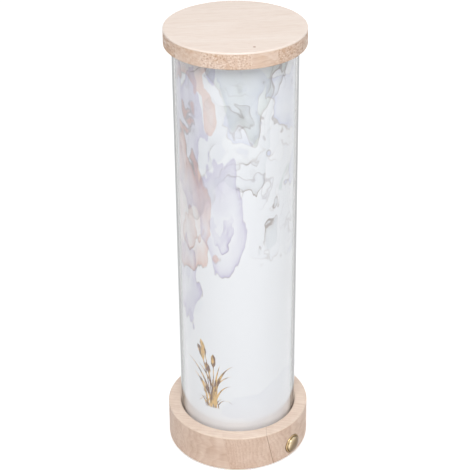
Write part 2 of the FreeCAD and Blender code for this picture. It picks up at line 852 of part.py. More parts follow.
def drive_gear():
    """The shade's gear, running on the post."""
    height = size("gear_height")
    shape = toothed_disc(GEAR_TEETH, math.radians(size("motor_azimuth")), height)
    shape = shape.cut(Part.makeCylinder(size("post_running_bore"), height))
    depth = size("turntable_screw_length") - size("turntable_thickness")
    for index in range(TURNTABLE_SCREWS):
        angle = math.radians(TURNTABLE_SCREW_AZIMUTH + index * 360 / TURNTABLE_SCREWS)
        spot = Vector(size("turntable_screw_circle") * math.cos(angle),
                      size("turntable_screw_circle") * math.sin(angle), height - depth)
        shape = shape.cut(Part.makeCylinder(size("small_screw_radius"), depth, spot))
    gear = doc.addObject("Part::Feature", "DriveGear")
    gear.Shape = shape
    gear.Placement = Placement(Vector(0, 0, size("gear_bottom")), Rotation())
    return keep(gear, "drive_gear")


def pinion_gear():
    """The motor's pinion, meshed with the shade's gear and keyed to the shaft's flat."""
    azimuth = math.radians(size("motor_azimuth"))
    gap = size("pinion_side_gap")
    height = size("gear_height") - 2 * gap
    tooth_angle = azimuth + math.pi + math.pi / PINION_TEETH
    gear = doc.addObject("Part::Feature", "PinionGear")
    gear.Shape = toothed_disc(PINION_TEETH, tooth_angle, height).cut(flatted_rod(height))
    gear.Placement = Placement(Vector(size("shaft_x"), size("shaft_y"), size("gear_bottom") + gap), Rotation())
    return keep(gear, "pinion_gear")


def flatted_rod(height):
    """A round rod with one flat along it, standing at the origin."""
    radius = size("shaft_radius")
    rod = Part.makeCylinder(radius, height)
    flat = Part.makeBox(radius, 2 * radius, height, Vector(size("shaft_flat"), -radius, 0))
    return rod.cut(flat)


def motor_shaft():
    """The motor's output shaft, round in its bearing and flatted where the pinion sits."""
    bottom = size("deck_top") - size("shaft_engagement")
    flat_from = size("gear_bottom") + size("pinion_side_gap")
    round_part = Part.makeCylinder(size("shaft_radius"), flat_from - bottom)
    flat_part = flatted_rod(size("gear_height") - 2 * size("pinion_side_gap"))
    flat_part.translate(Vector(0, 0, flat_from - bottom))
    shaft = doc.addObject("Part::Feature", "MotorShaft")
    shaft.Shape = round_part.fuse(flat_part).removeSplitter()
    shaft.Placement = Placement(Vector(size("shaft_x"), size("shaft_y"), bottom), Rotation())
    return keep(shaft, "motor_shaft")


def motor_case():
    """The flat gear motor under the deck, with two ears and a bearing boss."""
    body = new_body("motor_case")
    can = feature(body, "AdditiveCylinder", Radius="motor_radius", Height="motor_height")
    place(can, z="-motor_height")
    doc.recompute()
    round_edges(body, "motor_edge_round", [(size("motor_radius"), -size("motor_height"))])
    bar = feature(body, "AdditiveBox", Length="ear_width", Width="ear_spread", Height="ear_thickness")
    place(bar, x="-0.5 * ear_width", y="-0.5 * ear_spread", z="-ear_thickness")
    for side in (-0.5, 0.5):
        ear = feature(body, "AdditiveCylinder", Radius="0.5 * ear_width", Height="ear_thickness")
        place(ear, y=f"{side} * ear_spread", z="-ear_thickness")
        hole = feature(body, "SubtractiveCylinder", Radius="small_screw_radius + screw_clearance",
                       Height="ear_thickness")
        place(hole, y=f"{side} * ear_spread", z="-ear_thickness")
    boss = feature(body, "AdditiveCylinder", Radius="boss_radius", Height="deck_thickness")
    place(boss, x="shaft_offset")
    bearing = feature(body, "SubtractiveCylinder", Radius="shaft_radius + running_clearance",
                      Height="shaft_engagement + shaft_end_gap")
    place(bearing, x="shaft_offset", z="deck_thickness - shaft_engagement - shaft_end_gap")
    place(body, x="motor_x", y="motor_y", z="ledge", turn="motor_azimuth")
    return body


def motor_wire_block():
    """The plastic block where the leads leave the motor."""
    block = part("Box", Length="motor_radius + wire_block_reach", Width="wire_block_length",
                 Height="wire_block_height")
    place(block, x="-(motor_radius + wire_block_reach)", y="-0.5 * wire_block_length",
          z="-0.5 * (motor_height + wire_block_height)")
    core = part("Cylinder", Radius="motor_radius", Height="motor_height")
    place(core, z="-motor_height")
    piece = keep(cut(block, core), "motor_wire_block")
    place(piece, x="motor_x", y="motor_y", z="ledge", turn="motor_azimuth")
    return piece


def turntable():
    """The turning carrier: hub on the post, disc over the gears and band that the shade is fixed to."""
    band_inside = "band_radius - turntable_band"
    body = turned_body("turntable", [
        ("post_running_bore", "gear_top"),
        (band_inside, "gear_top"),
        (band_inside, "gear_bottom"),
        ("band_radius", "gear_bottom"),
        ("band_radius", "band_top"),
        (band_inside, "band_top"),
        (band_inside, "disc_top"),
        ("turntable_hub_radius", "disc_top"),
        ("turntable_hub_radius", "hub_top"),
        ("post_running_bore", "hub_top"),
    ])
    sunk_holes(body, "turntable_screw_circle", TURNTABLE_SCREW_AZIMUTH, "disc_top", TURNTABLE_SCREWS,
               "small_screw_radius", "small_screw_head", "turntable_thickness")
    return body


def shade_film():
    """The printed film, rolled into a tube."""
    return turned_body("shade_film", [("shade_inside", "shade_bottom"), ("shade_radius", "shade_bottom"),
                                      ("shade_radius", "shade_top"), ("shade_inside", "shade_top")])


def top_spider():
    """The upper ring with three spokes and a hub, which keeps the shade round and upright."""
    body = turned_body("top_spider", [
        ("band_radius - spider_band", "spider_bottom"),
        ("band_radius", "spider_bottom"),
        ("band_radius", "shade_top"),
        ("band_radius - spider_band", "shade_top"),
    ])
    spoke = feature(body, "AdditiveBox", Length="band_radius - 0.5 * spider_band", Width="spoke_width",
                    Height="spoke_thickness")
    place(spoke, y="-0.5 * spoke_width", z="spider_bottom")
    repeat(body, [spoke], SPOKES)
    hub = feature(body, "AdditiveCylinder", Radius="spider_hub_radius", Height="spider_hub_height")
    place(hub, z="bush_bottom")
    bore = feature(body, "SubtractiveCylinder", Radius="bush_radius", Height="spider_hub_height")
    place(bore, z="bush_bottom")
    return body


def top_bush():
    """The bush in the spider's hub, running on the pin."""
    return keep(ring_tool("pin_radius + running_clearance", "bush_radius", "bush_bottom", "bush_height"),
                "top_bush")


def light_column():
    """The strips of lights on a square carrier, inside an opal tube between two end caps."""
    turned_body("column_foot", [
        ("post_radius", "column_bottom"),
        ("column_foot_radius", "column_bottom"),
        ("column_foot_radius", "diffuser_bottom"),
        ("diffuser_inside", "diffuser_bottom"),
        ("diffuser_inside", "diffuser_bottom + column_spigot"),
        ("post_radius", "diffuser_bottom + column_spigot"),
    ])
    turned_body("column_cap", [
        ("post_radius", "diffuser_top - column_spigot"),
        ("diffuser_inside", "diffuser_top - column_spigot"),
        ("diffuser_inside", "diffuser_top"),
        ("column_foot_radius", "diffuser_top"),
        ("column_foot_radius", "diffuser_top + column_foot_height - column_spigot"),
        ("post_radius", "diffuser_top + column_foot_height - column_spigot"),
    ])
    turned_body("diffuser_tube", [
        ("diffuser_inside", "diffuser_bottom"),
        ("diffuser_radius", "diffuser_bottom"),
        ("diffuser_radius", "diffuser_top"),
        ("diffuser_inside", "diffuser_top"),
    ])
    bar = part("Box", Length="carrier_side", Width="carrier_side", Height="carrier_length")
    place(bar, x="-0.5 * carrier_side", y="-0.5 * carrier_side", z="carrier_bottom")
    bore = part("Cylinder", Radius="post_radius", Height="carrier_length")
    place(bore, z="carrier_bottom")
    keep(cut(bar, bore), "led_carrier")
    strips = []
    chips = []
    for side in range(STRIPS):
        strip = part("Box", Length="strip_width", Width="strip_thickness", Height="carrier_length")
        stand_on_side(strip, side, "-0.5 * strip_width", "0.5 * carrier_side", "carrier_bottom")
        strips.append(strip)
        for row in range(LEDS_PER_STRIP):
            chip = part("Box", Length="led_width", Width="led_height", Height="led_length")
            middle = f"0.5 * carrier_length + led_pitch * {row - 0.5 * (LEDS_PER_STRIP - 1)}"
            stand_on_side(chip, side, "-0.5 * led_width", "0.5 * carrier_side + strip_thickness",
                          f"carrier_bottom + {middle} - 0.5 * led_length")
            chips.append(chip)
    compound("led_strips", strips)
    compound("led_chips", chips)


def stand_on_side(thing, side, x, y, z):
    """Place an object on one of the carrier's sides."""
    turn = f"rotation(vector(0; 0; 1); {side * 360 / STRIPS})"
    shift = f"vector({linked(x)}; {linked(y)}; {linked(z)})"
    thing.setExpression("Placement", f"placement(vector(0; 0; 0); {turn})"
                                     f" * placement({shift}; rotation(vector(0; 0; 1); 0))")


def push_switch():
    """The brass push button in the side of the base, with its bezel, nut, clip, spring and switch."""
    well = "bezel_well_radius"
    guide = "stem_radius + running_clearance"
    bezel = turned_body("button_bezel", [
        (guide, "guide_end"),
        ("spring_chamber_radius", "guide_end"),
        ("spring_chamber_radius", "barrel_end"),
        ("barrel_radius", "barrel_end"),
        ("barrel_radius", "bezel_seat"),
        ("bezel_radius", "bezel_seat"),
        ("bezel_radius", "bezel_face - bezel_edge"),
        ("bezel_radius - bezel_edge", "bezel_face"),
        (well, "bezel_face"),
        (well, "well_floor"),
        (guide, "well_floor"),
    ])
    aim(bezel, "button_azimuth", "switch_level")
    hexagon = part("Prism", Circumradius="nut_across_flats / (2 * cos(30))", Height="nut_thickness")
    thread = part("Cylinder", Radius="barrel_radius", Height="nut_thickness")
    nut = keep(cut(hexagon, thread), "bezel_nut")
    aim(nut, "button_azimuth", "switch_level", z="pocket_face - nut_thickness")
    button_cap()
    groove = "stem_radius - stem_groove_depth"
    clip = keep(ring_tool(groove, "stem_clip_radius", "stem_clip_inner", "stem_clip_thickness"), "button_clip")
    aim(clip, "button_azimuth", "switch_level")
    plunger = keep(part("Cylinder", Radius="plunger_radius", Height="plunger_length"), "switch_plunger")
    aim(plunger, "button_azimuth", "switch_level", z="stem_end - plunger_length")
    housing = turned_body("switch_housing", [
        (0, "switch_back"),
        ("switch_radius", "switch_back"),
        ("switch_radius", "barrel_end"),
        ("spring_chamber_radius", "barrel_end"),
        ("spring_chamber_radius", "switch_front"),
        ("plunger_radius + plunger_clearance", "switch_front"),
        ("plunger_radius + plunger_clearance", "plunger_well"),
        (0, "plunger_well"),
    ])
    aim(housing, "button_azimuth", "switch_level")
    blades = []
    for side in (-0.5, 0.5):
        blade = part("Box", Length="terminal_width", Width="terminal_thickness", Height="terminal_length")
        aim(blade, "button_azimuth", "switch_level", x=f"{side} * terminal_spacing - 0.5 * terminal_width",
            y="-0.5 * terminal_thickness", z="switch_back - terminal_length")
        blades.append(blade)
    compound("switch_terminals", blades)
    button_spring()


def button_cap():
    """The domed button head on its grooved stem."""
    head = part("Cylinder", Radius="button_radius", Height="button_side + button_dome")
    place(head, z="button_under")
    sphere = "((button_radius^2 + button_dome^2) / (2 * button_dome))"
    dome = part("Sphere", Radius=sphere)
    place(dome, z=f"button_under + button_side + button_dome - {sphere}")
    domed = doc.addObject("Part::MultiCommon", "DomedHead")
    domed.Shapes = [head, dome]
    stem = part("Cylinder", Radius="stem_radius", Height="button_under - stem_end")
    place(stem, z="stem_end")
    groove = ring_tool("stem_radius - stem_groove_depth", "stem_radius", "stem_clip_inner", "stem_clip_thickness")
    cap = keep(cut(fused(domed, stem), groove), "button_cap")
    aim(cap, "button_azimuth", "switch_level")
    return cap


def arc_from(start, heading, end):
    """An arc that leaves its start along a heading."""
    chord = end - start
    along = Vector(chord).normalize()
    lean = math.acos(max(-1, min(1, heading.dot(along))))
    outward = (heading - along * heading.dot(along)).normalize()
    middle = (start + end) * 0.5 + outward * (0.5 * chord.Length * math.tan(0.5 * lean))
    return Part.Arc(start, middle, end).toShape()


def paired_arcs(start, leaving, end, arriving):
    """Two arcs that join two points with the given headings and meet smoothly between them."""
    chord = end - start
    both = chord.dot(leaving + arriving)
    turn = 2 * (1 - leaving.dot(arriving))
    reach = (math.sqrt(both * both + turn * chord.dot(chord)) - both) / turn
    meeting = (start + end + (leaving - arriving) * reach) * 0.5
    heading = (end - arriving * reach - meeting).normalize()
    return [arc_from(start, leaving, meeting), arc_from(meeting, heading, end)]


def button_spring():
    """The return spring between the stem's clip and the switch."""
    radius = size("spring_radius")
    seat = 0.5 * size("spring_wire") + size("spring_seat_gap")
    quarters = round(4 * size("spring_turns"))
    rise = (size("stem_clip_inner") - size("switch_front") - 2 * seat) / quarters
    slope = math.atan2(rise, 0.5 * math.pi * radius)

    def spot(quarter):
        angle = 0.5 * math.pi * quarter
        return Vector(radius * math.cos(angle), radius * math.sin(angle), rise * quarter)

    def heading(quarter):
        angle = 0.5 * math.pi * quarter
        return Vector(-math.sin(angle) * math.cos(slope), math.cos(angle) * math.cos(slope), math.sin(slope))

    edges = []
    for quarter in range(quarters):
        edges += paired_arcs(spot(quarter), heading(quarter), spot(quarter + 1), heading(quarter + 1))
    section = Part.Wire([Part.makeCircle(0.5 * size("spring_wire"), spot(0), heading(0))])
    coil = doc.addObject("Part::Feature", "Coil")
    coil.Shape = Part.Wire(edges).makePipeShell([section], True, False)
    keep(coil, "button_spring")
    aim(coil, "button_azimuth", "switch_level", z="switch_front + 0.5 * spring_wire + spring_seat_gap")


def power_inlet():
    """The power socket's metal shell and plastic tongue, facing out at the back."""
    shell = rounded_block("socket_width", "socket_height", "socket_length", "socket_corner")
    hollow = rounded_block("socket_width - 2 * socket_wall", "socket_height - 2 * socket_wall",
                           "socket_length - socket_back", "socket_corner - socket_wall")
    place(hollow, z="socket_back")
    socket = keep(cut(shell, hollow), "inlet_shell")
    aim(socket, 180, "inlet_level", z="plug_recess_floor - socket_length")
    tongue = keep(part("Box", Length="socket_tongue_width", Width="socket_tongue", Height="socket_tongue_length"),
                  "inlet_tongue")
    aim(tongue, 180, "inlet_level", x="-0.5 * socket_tongue_width", y="-0.5 * socket_tongue",
        z="plug_recess_floor - socket_length + socket_back")


def rounded_block(width, height, length, corner):
    """A block about the Z axis with four rounded corners."""
    bars = []
    wide = f"(({width}) - 2 * ({corner}))"
    high = f"(({height}) - 2 * ({corner}))"
    for across, up in ((f"({width})", high), (wide, f"({height})")):
        bar = part("Box", Length=across, Width=up, Height=length)
        place(bar, x=f"-0.5 * {across}", y=f"-0.5 * {up}")
        bars.append(bar)
    for side in (-0.5, 0.5):
        for rise in (-0.5, 0.5):
            post = part("Cylinder", Radius=corner, Height=length)
            place(post, x=f"{side} * {wide}", y=f"{rise} * {high}")
            bars.append(post)
    block = fused(*bars)
    block.Refine = True
    return block


def control_board():
    """The control board behind the inlet, with its chip, coil and capacitors."""
    body = new_body("control_board")
    plate = feature(body, "AdditiveBox", Length="board_width", Width="board_length", Height="board_thickness")
    place(plate, x="-0.5 * board_width", y="board_back", z="board_bottom")
    for side in (-1, 1):
        hole = feature(body, "SubtractiveCylinder", Radius="small_screw_radius + screw_clearance",
                       Height="board_thickness")
        place(hole, x=f"{side} * (0.5 * board_width - board_screw_inset)", y="board_back + board_screw_inset",
              z="board_bottom")
    chip = part("Box", Length="chip_side", Width="chip_side", Height="chip_height")
    place(chip, x="-0.5 * chip_side", y="board_back + chip_place", z="board_top")
    coil = part("Box", Length="coil_side", Width="coil_side", Height="coil_height")
    place(coil, x="0.5 * board_width - coil_side - board_edge_gap", y="board_back + coil_place", z="board_top")
    parts_on_board = [chip, coil]
    for step in range(2):
        can = part("Cylinder", Radius="capacitor_radius", Height="capacitor_height")
        place(can, x="-0.5 * board_width + capacitor_radius + board_edge_gap",
              y=f"board_back + capacitor_place + {step} * capacitor_pitch", z="board_top")
        parts_on_board.append(can)
    compound("board_parts", parts_on_board)


def power_cell():
    """The rechargeable cell on its foam pad."""
    body = new_body("power_cell")
    block = feature(body, "AdditiveBox", Length="cell_length", Width="cell_width", Height="cell_thickness")
    place(block, x="cell_left", y="cell_back - cell_width", z="cell_bottom")
    doc.recompute()
    upright = []
    for index, edge in enumerate(block.Shape.Edges, start=1):
        ends = [vertex.Point for vertex in edge.Vertexes]
        if abs(ends[0].z - ends[1].z) > 1:
            upright.append(f"Edge{index}")
    rounding = body.newObject("PartDesign::Fillet", "Rounding")
    rounding.Base = (block, upright)
    bind(rounding, Radius="cell_corner")
    pad = part("Box", Length="cell_length - 2 * cell_corner", Width="cell_width - 2 * cell_corner",
               Height="cell_pad_thickness")
    place(pad, x="cell_left + cell_corner", y="cell_back - cell_width + cell_corner", z="cover_top")
    keep(pad, "cell_pad")
    return body


def lead(points):
    """One insulated wire along points, with each corner rounded as far as its runs allow."""
    radius = size("lead_radius")
    spots = [Vector(*point) for point in points]
    edges = []
    last = spots[0]
    for before, corner, after in zip(spots, spots[1:], spots[2:]):
        back = (before - corner).normalize()
        ahead = (after - corner).normalize()
        half_turn = 0.5 * (math.pi - back.getAngle(ahead))
        run = min((before - corner).Length, (after - corner).Length)
        reach = min(0.45 * run, size("lead_bend") * math.tan(half_turn))
        bend = reach / math.tan(half_turn)
        inward = (back + ahead).normalize()
        middle = corner + inward * (bend / math.cos(half_turn) - bend)
        edges.append(Part.LineSegment(last, corner + back * reach).toShape())
        edges.append(Part.Arc(corner + back * reach, middle, corner + ahead * reach).toShape())
        last = corner + ahead * reach
    edges.append(Part.LineSegment(last, spots[-1]).toShape())
    path = Part.Wire(edges)
    section = Part.Wire([Part.makeCircle(radius, spots[0], spots[1] - spots[0])])
    return path.makePipeShell([section], True, True)


def inner_leads():
    """The wires from the control board to the cell, motor, switch and light strips."""
    board = size("board_top")
    edge = size("board_back") + size("lead_landing")
    spacing = size("lead_spacing")
    solids = []
    level = size("cell_top") - size("cell_lead_drop")
    for index in range(2):
        x = size("cell_lead_place") + index * spacing
        solids.append(lead([(x, size("cell_back"), level), (x, edge, level), (x, edge, board)]))
    azimuth = math.radians(size("motor_azimuth"))
    face = size("motor_distance") - size("motor_radius") - size("wire_block_reach")
    away = face - size("motor_lead_exit")
    for index in range(2):
        x = size("motor_lead_place") + index * spacing
        level = size("cell_top") + size("motor_lead_gap") + (1 - index) * size("motor_lead_step")
        solids.append(lead([(face * math.cos(azimuth), face * math.sin(azimuth), level),
                            (away * math.cos(azimuth), away * math.sin(azimuth), level),
                            (x, edge, level), (x, edge, board)]))
    carrier_face = -0.5 * (size("carrier_side") + size("strip_thickness"))
    level = size("ledge") - size("strip_lead_drop")
    for index, side in enumerate((-1, 1)):
        x = size("strip_lead_place") + index * spacing
        offset = side * size("strip_lead_offset")
        solids.append(lead([(x, edge, board), (x, edge, level), (offset, 0, level), (offset, 0, size("wire_hole")),
                            (offset, carrier_face, size("wire_hole")),
                            (offset, carrier_face, size("carrier_bottom"))]))
    turn = math.radians(size("button_azimuth"))
    outward = Vector(math.sin(turn), -math.cos(turn), 0)
    sideways = Vector(math.cos(turn), math.sin(turn), 0)
    over_cell = size("cell_top") + size("switch_lead_rise")
    landing = size("board_back") + size("switch_lead_landing")
    for side in (-1, 1):
        x = size("switch_lead_place") + (0.5 + 0.5 * side) * size("switch_lead_spacing")
        start = outward * (size("switch_back") - size("terminal_length"))
        start += sideways * (0.5 * side * size("terminal_spacing")) + Vector(0, 0, size("switch_level"))
        leaving = start - outward * size("switch_lead_run")
        rising = leaving - outward * size("switch_lead_run") + Vector(0, 0, over_cell - size("switch_level"))
        solids.append(lead([tuple(start), tuple(leaving), tuple(rising), (x, landing, over_cell),
                            (x, landing, board)]))
    harness = doc.addObject("Part::Feature", "Leads")
    harness.Shape = Part.makeCompound(solids)
    return keep(harness, "inner_leads")


def fasteners():
    """Every group of screws."""
    wood = screw("WoodScrew", "wood_screw_radius", "wood_screw_head", "wood_screw_length")
    ring_of("cover_screws", wood, COVER_SCREWS, "cover_screw_circle", "cover_screw_azimuth", "base_bottom")
    long_small = screw("DeckScrew", "small_screw_radius", "small_screw_head", "deck_screw_length")
    ring_of("deck_screws", long_small, DECK_SCREWS, "deck_screw_circle", "deck_screw_azimuth", "deck_top",
            down=True)
    flange = screw("PostScrew", "small_screw_radius", "small_screw_head", "post_screw_length")
    ring_of("post_screws", flange, POST_SCREWS, "post_screw_circle", "post_screw_azimuth", "flange_top", down=True)
    middle = screw("TurntableScrew", "small_screw_radius", "small_screw_head", "turntable_screw_length")
    ring_of("turntable_screws", middle, TURNTABLE_SCREWS, "turntable_screw_circle", TURNTABLE_SCREW_AZIMUTH,
            "disc_top", down=True)
    motor = screw("MotorScrew", "small_screw_radius", "small_screw_head", "motor_screw_length", sunk=False)
    compound("motor_screws", [copy_at(motor, f"motor_x + {side} * ear_x", f"motor_y + {side} * ear_y",
                                      "ledge - ear_thickness") for side in (-1, 1)])
    board = screw("BoardScrew", "small_screw_radius", "small_screw_head", "board_screw_length", sunk=False)
    compound("board_screws", [copy_at(board, f"{side} * (0.5 * board_width - board_screw_inset)",
                                      "board_back + board_screw_inset", "board_top", down=True)
                              for side in (-1, 1)])


def check(things):
    """Stop if any object failed, or any finished shape is empty or broken."""
    for thing in doc.Objects:
        if {"Invalid", "Error"} & set(thing.State):
            raise RuntimeError(f"{thing.Label} failed: {thing.State}")
    for thing in things:
        if thing.Shape.isNull() or not thing.Shape.isValid() or not thing.Shape.Solids:
            raise RuntimeError(f"{thing.Label} has no sound solid")


base_body()
bottom_cover()
rubber_feet()
clear_tube()
lid()
deck_plate()
centre_post()
pivot_pin()
retaining_clip()
thrust_washer()
drive_gear()
pinion_gear()
motor_shaft()
motor_case()
motor_wire_block()
turntable()
shade_film()
top_spider()
top_bush()
light_column()
push_switch()
power_inlet()
control_board()
power_cell()
inner_leads()
fasteners()
doc.recompute()
check(made)
os.makedirs("parts", exist_ok=True)
for piece in made:
    piece.Shape.exportStep(os.path.join("parts", piece.Label + ".step"))
    box = piece.Shape.BoundBox
    print(f"{piece.Label:18s} {len(piece.Shape.Solids):3d} solids {piece.Shape.Volume:10.1f} mm3"
          f"  z {box.ZMin:7.2f} to {box.ZMax:7.2f}")
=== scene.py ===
"""Rotating motion lamp: the looks of every piece, on the frame of the finished model.

Metres, +Z up, origin on the floor under the lamp's axis, front towards -Y.
"""
import json
import logging
import math
from dataclasses import dataclass
from enum import Enum
from functools import partialmethod
from typing import Any, Iterable, Sequence

import bmesh
import bpy
from mathutils import Matrix, Vector


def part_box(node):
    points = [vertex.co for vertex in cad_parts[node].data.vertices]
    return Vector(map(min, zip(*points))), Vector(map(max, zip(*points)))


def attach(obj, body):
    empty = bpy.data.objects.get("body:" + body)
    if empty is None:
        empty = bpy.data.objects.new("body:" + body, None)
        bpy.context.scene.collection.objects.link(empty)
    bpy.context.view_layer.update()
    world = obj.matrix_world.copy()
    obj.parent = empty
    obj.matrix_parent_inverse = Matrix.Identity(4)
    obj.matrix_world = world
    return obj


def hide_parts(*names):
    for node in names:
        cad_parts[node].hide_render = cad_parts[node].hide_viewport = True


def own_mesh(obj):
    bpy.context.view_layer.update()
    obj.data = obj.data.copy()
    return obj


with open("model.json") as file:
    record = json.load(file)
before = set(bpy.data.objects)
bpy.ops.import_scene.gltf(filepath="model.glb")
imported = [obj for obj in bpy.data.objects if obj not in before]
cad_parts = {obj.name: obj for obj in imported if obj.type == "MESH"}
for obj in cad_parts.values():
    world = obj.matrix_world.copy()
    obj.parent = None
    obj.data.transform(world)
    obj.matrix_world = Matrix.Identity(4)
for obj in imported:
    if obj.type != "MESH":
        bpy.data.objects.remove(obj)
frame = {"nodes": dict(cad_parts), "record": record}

log = logging.getLogger("lamp")
Point = tuple[float, float]
Place = tuple[float, float, float]
Colour = tuple[float, float, float]
Socket = bpy.types.NodeSocket
Object = bpy.types.Object
UNTURNED = Matrix.Identity(4)
JOIN_DISTANCE = 0.000002
MIDDLE_LEVEL = 0.15


class Body(Enum):
    """The bodies that the scene's own pieces ride on."""

    BASE = "base"
    SHADE = "shade"
    BUTTON = "button"


class Kind(Enum):
    """What an input or output of a node group carries."""

    NUMBER = "NodeSocketFloat"
    COUNT = "NodeSocketInt"
    VECTOR = "NodeSocketVector"
    COLOUR = "NodeSocketColor"
    GEOMETRY = "NodeSocketGeometry"
    MATERIAL = "NodeSocketMaterial"

    def ports(self, *names: str) -> tuple["Port", ...]:
        """Inputs or outputs of this kind."""
        return tuple(Port(name, self) for name in names)


@dataclass(frozen=True)
class Port:
    """A named input or output of a node group."""

    name: str
    kind: Kind = Kind.NUMBER
    start: Any = None


class Term:
    """An output of a node, with sums on it written as plain operators."""

    def __init__(self, graph: "Graph", socket: Socket) -> None:
        """Take the output and the tree that it is in."""
        self.graph = graph
        self.socket = socket

    def combined(self, operation: str, other: Any) -> "Term":
        """This and another value, by the name of a sum."""
        return self.graph.math(operation, self, other)

    __add__ = partialmethod(combined, "ADD")
    __sub__ = partialmethod(combined, "SUBTRACT")
    __mul__ = partialmethod(combined, "MULTIPLY")
    __truediv__ = partialmethod(combined, "DIVIDE")
    __mod__ = partialmethod(combined, "FLOORED_MODULO")
    __pow__ = partialmethod(combined, "POWER")

    def __rsub__(self, other: Any) -> "Term":
        """A plain number less this."""
        return self.graph.math("SUBTRACT", other, self)

    def __neg__(self) -> "Term":
        """This with its sign turned."""
        return self * -1.0

    def __abs__(self) -> "Term":
        """This without its sign."""
        return self.graph.math("ABSOLUTE", self)


def is_vector(value: Any) -> bool:
    """Whether a value has three parts."""
    return isinstance(value, tuple) or (isinstance(value, Term) and value.socket.type in ("VECTOR", "RGBA"))


class Graph:
    """A node tree, with short calls that add nodes and join them."""

    def __init__(self, tree: bpy.types.NodeTree) -> None:
        """Take the tree of a material, a world or a node group."""
        self.tree = tree

    def feed(self, node: bpy.types.Node, socket: str | int, value: Any) -> None:
        """Join an output to an input, or set the input's value.

        Args:
            node: The node that is fed.
            socket: The input's name or number.
            value: Another node's output, or a plain value.
        """
        target = node.inputs[socket]
        if isinstance(value, Term):
            value = value.socket
        if isinstance(value, Socket):
            self.tree.links.new(value, target)
        elif target.type == "VECTOR" and isinstance(value, float):
            target.default_value = (value,) * 3
        elif target.type == "RGBA":
            target.default_value = (*value, 1.0)
        else:
            target.default_value = value

    def add(self, kind: str, settings: dict[str, Any] | None = None, **inputs: Any) -> bpy.types.Node:
        """Add a node.

        Args:
            kind: The node's type.
            settings: The node's own properties.
            inputs: Its inputs by name, with an underscore for each space.

        Returns:
            The new node.
        """
        node = self.tree.nodes.new(kind)
        for name, value in (settings or {}).items():
            setattr(node, name, value)
        for name, value in inputs.items():
            self.feed(node, name.replace("_", " "), value)
        return node

    def read(self, kind: str, settings: dict[str, Any] | None = None, output: str | int = 0,
             **inputs: Any) -> Term:
        """Add a node, as add does, and read one of its outputs."""
        return Term(self, self.add(kind, settings, **inputs).outputs[output])

    def math(self, operation: str, *values: Any) -> Term:
        """Work out a number, or a vector where a value is one.

        Args:
            operation: The sum's name, such as MAXIMUM.
            values: One to three numbers, vectors or outputs.

        Returns:
            The result.
        """
        kind = "ShaderNodeVectorMath" if any(is_vector(value) for value in values) else "ShaderNodeMath"
        node = self.add(kind, {"operation": operation})
        for index, value in enumerate(values):
            self.feed(node, index, value)
        return Term(self, node.outputs["Value" if operation == "DISTANCE" else 0])

    def smooth(self, value: Any, low: Any, high: Any) -> Term:
        """A soft step from 0 at low to 1 at high."""
        kind = {"interpolation_type": "SMOOTHSTEP"}
        return self.read("ShaderNodeMapRange", kind, Value=value, From_Min=low, From_Max=high)

    def noise(self, where: Any, scale: Any, detail: float = 2.0, seed: Any = None, output: int = 0) -> Term:
        """Add a noise texture.

        Args:
            where: The point that is read.
            scale: Features per unit.
            detail: Octaves of finer noise.
            seed: Picks another noise of the same kind.
            output: 0 for a number, 1 for three.

        Returns:
            The noise.
        """
        inputs = {"Vector": where, "Scale": scale, "Detail": detail}
        if seed is None:
            return self.read("ShaderNodeTexNoise", {"noise_dimensions": "3D"}, output, **inputs)
        return self.read("ShaderNodeTexNoise", {"noise_dimensions": "4D"}, output, W=seed, **inputs)

    def blend(self, share: Any, first: Any, second: Any, kind: str = "MIX") -> Term:
        """Mix two colours.

        Args:
            share: How much of the second shows.
            first: The colour below.
            second: The colour above.
            kind: The way they mix.

        Returns:
            The mixed colour.
        """
        node = self.add("ShaderNodeMix", {"data_type": "RGBA", "blend_type": kind})
        for index, value in ((0, share), (6, first), (7, second)):
            self.feed(node, index, value)
        return Term(self, node.outputs[2])

    def either(self, share: Any, first: Socket, second: Socket) -> Socket:
        """Mix two shaders.

        Args:
            share: How much of the second shows.
            first: A shader.
            second: A shader.

        Returns:
            The mixed shader.
        """
        node = self.add("ShaderNodeMixShader", Fac=share)
        self.feed(node, 1, first)
        self.feed(node, 2, second)
        return node.outputs[0]

    def split(self, value: Any) -> tuple[Term, ...]:
        """The three parts of a vector."""
        return tuple(Term(self, part) for part in self.add("ShaderNodeSeparateXYZ", Vector=value).outputs)

    def join(self, x: Any, y: Any, z: Any) -> Term:
        """A vector from three parts."""
        return self.read("ShaderNodeCombineXYZ", X=x, Y=y, Z=z)

    def bump(self, height: Any, strength: float, distance: float) -> Term:
        """A surface normal that follows a height, with metres of relief as its distance."""
        return self.read("ShaderNodeBump", Height=height, Strength=strength, Distance=distance)

    def facing(self) -> Term:
        """How far the surface turns away from the eye, from 0 to 1."""
        return self.read("ShaderNodeLayerWeight", output="Facing", Blend=0.5)

    def seen(self) -> Term:
        """1 for a ray that the camera, a gloss or a clear piece sends out."""
        path = self.add("ShaderNodeLightPath").outputs
        direct = self.math("MAXIMUM", path["Is Camera Ray"], path["Is Glossy Ray"])
        return self.math("MAXIMUM", direct, path["Is Transmission Ray"])


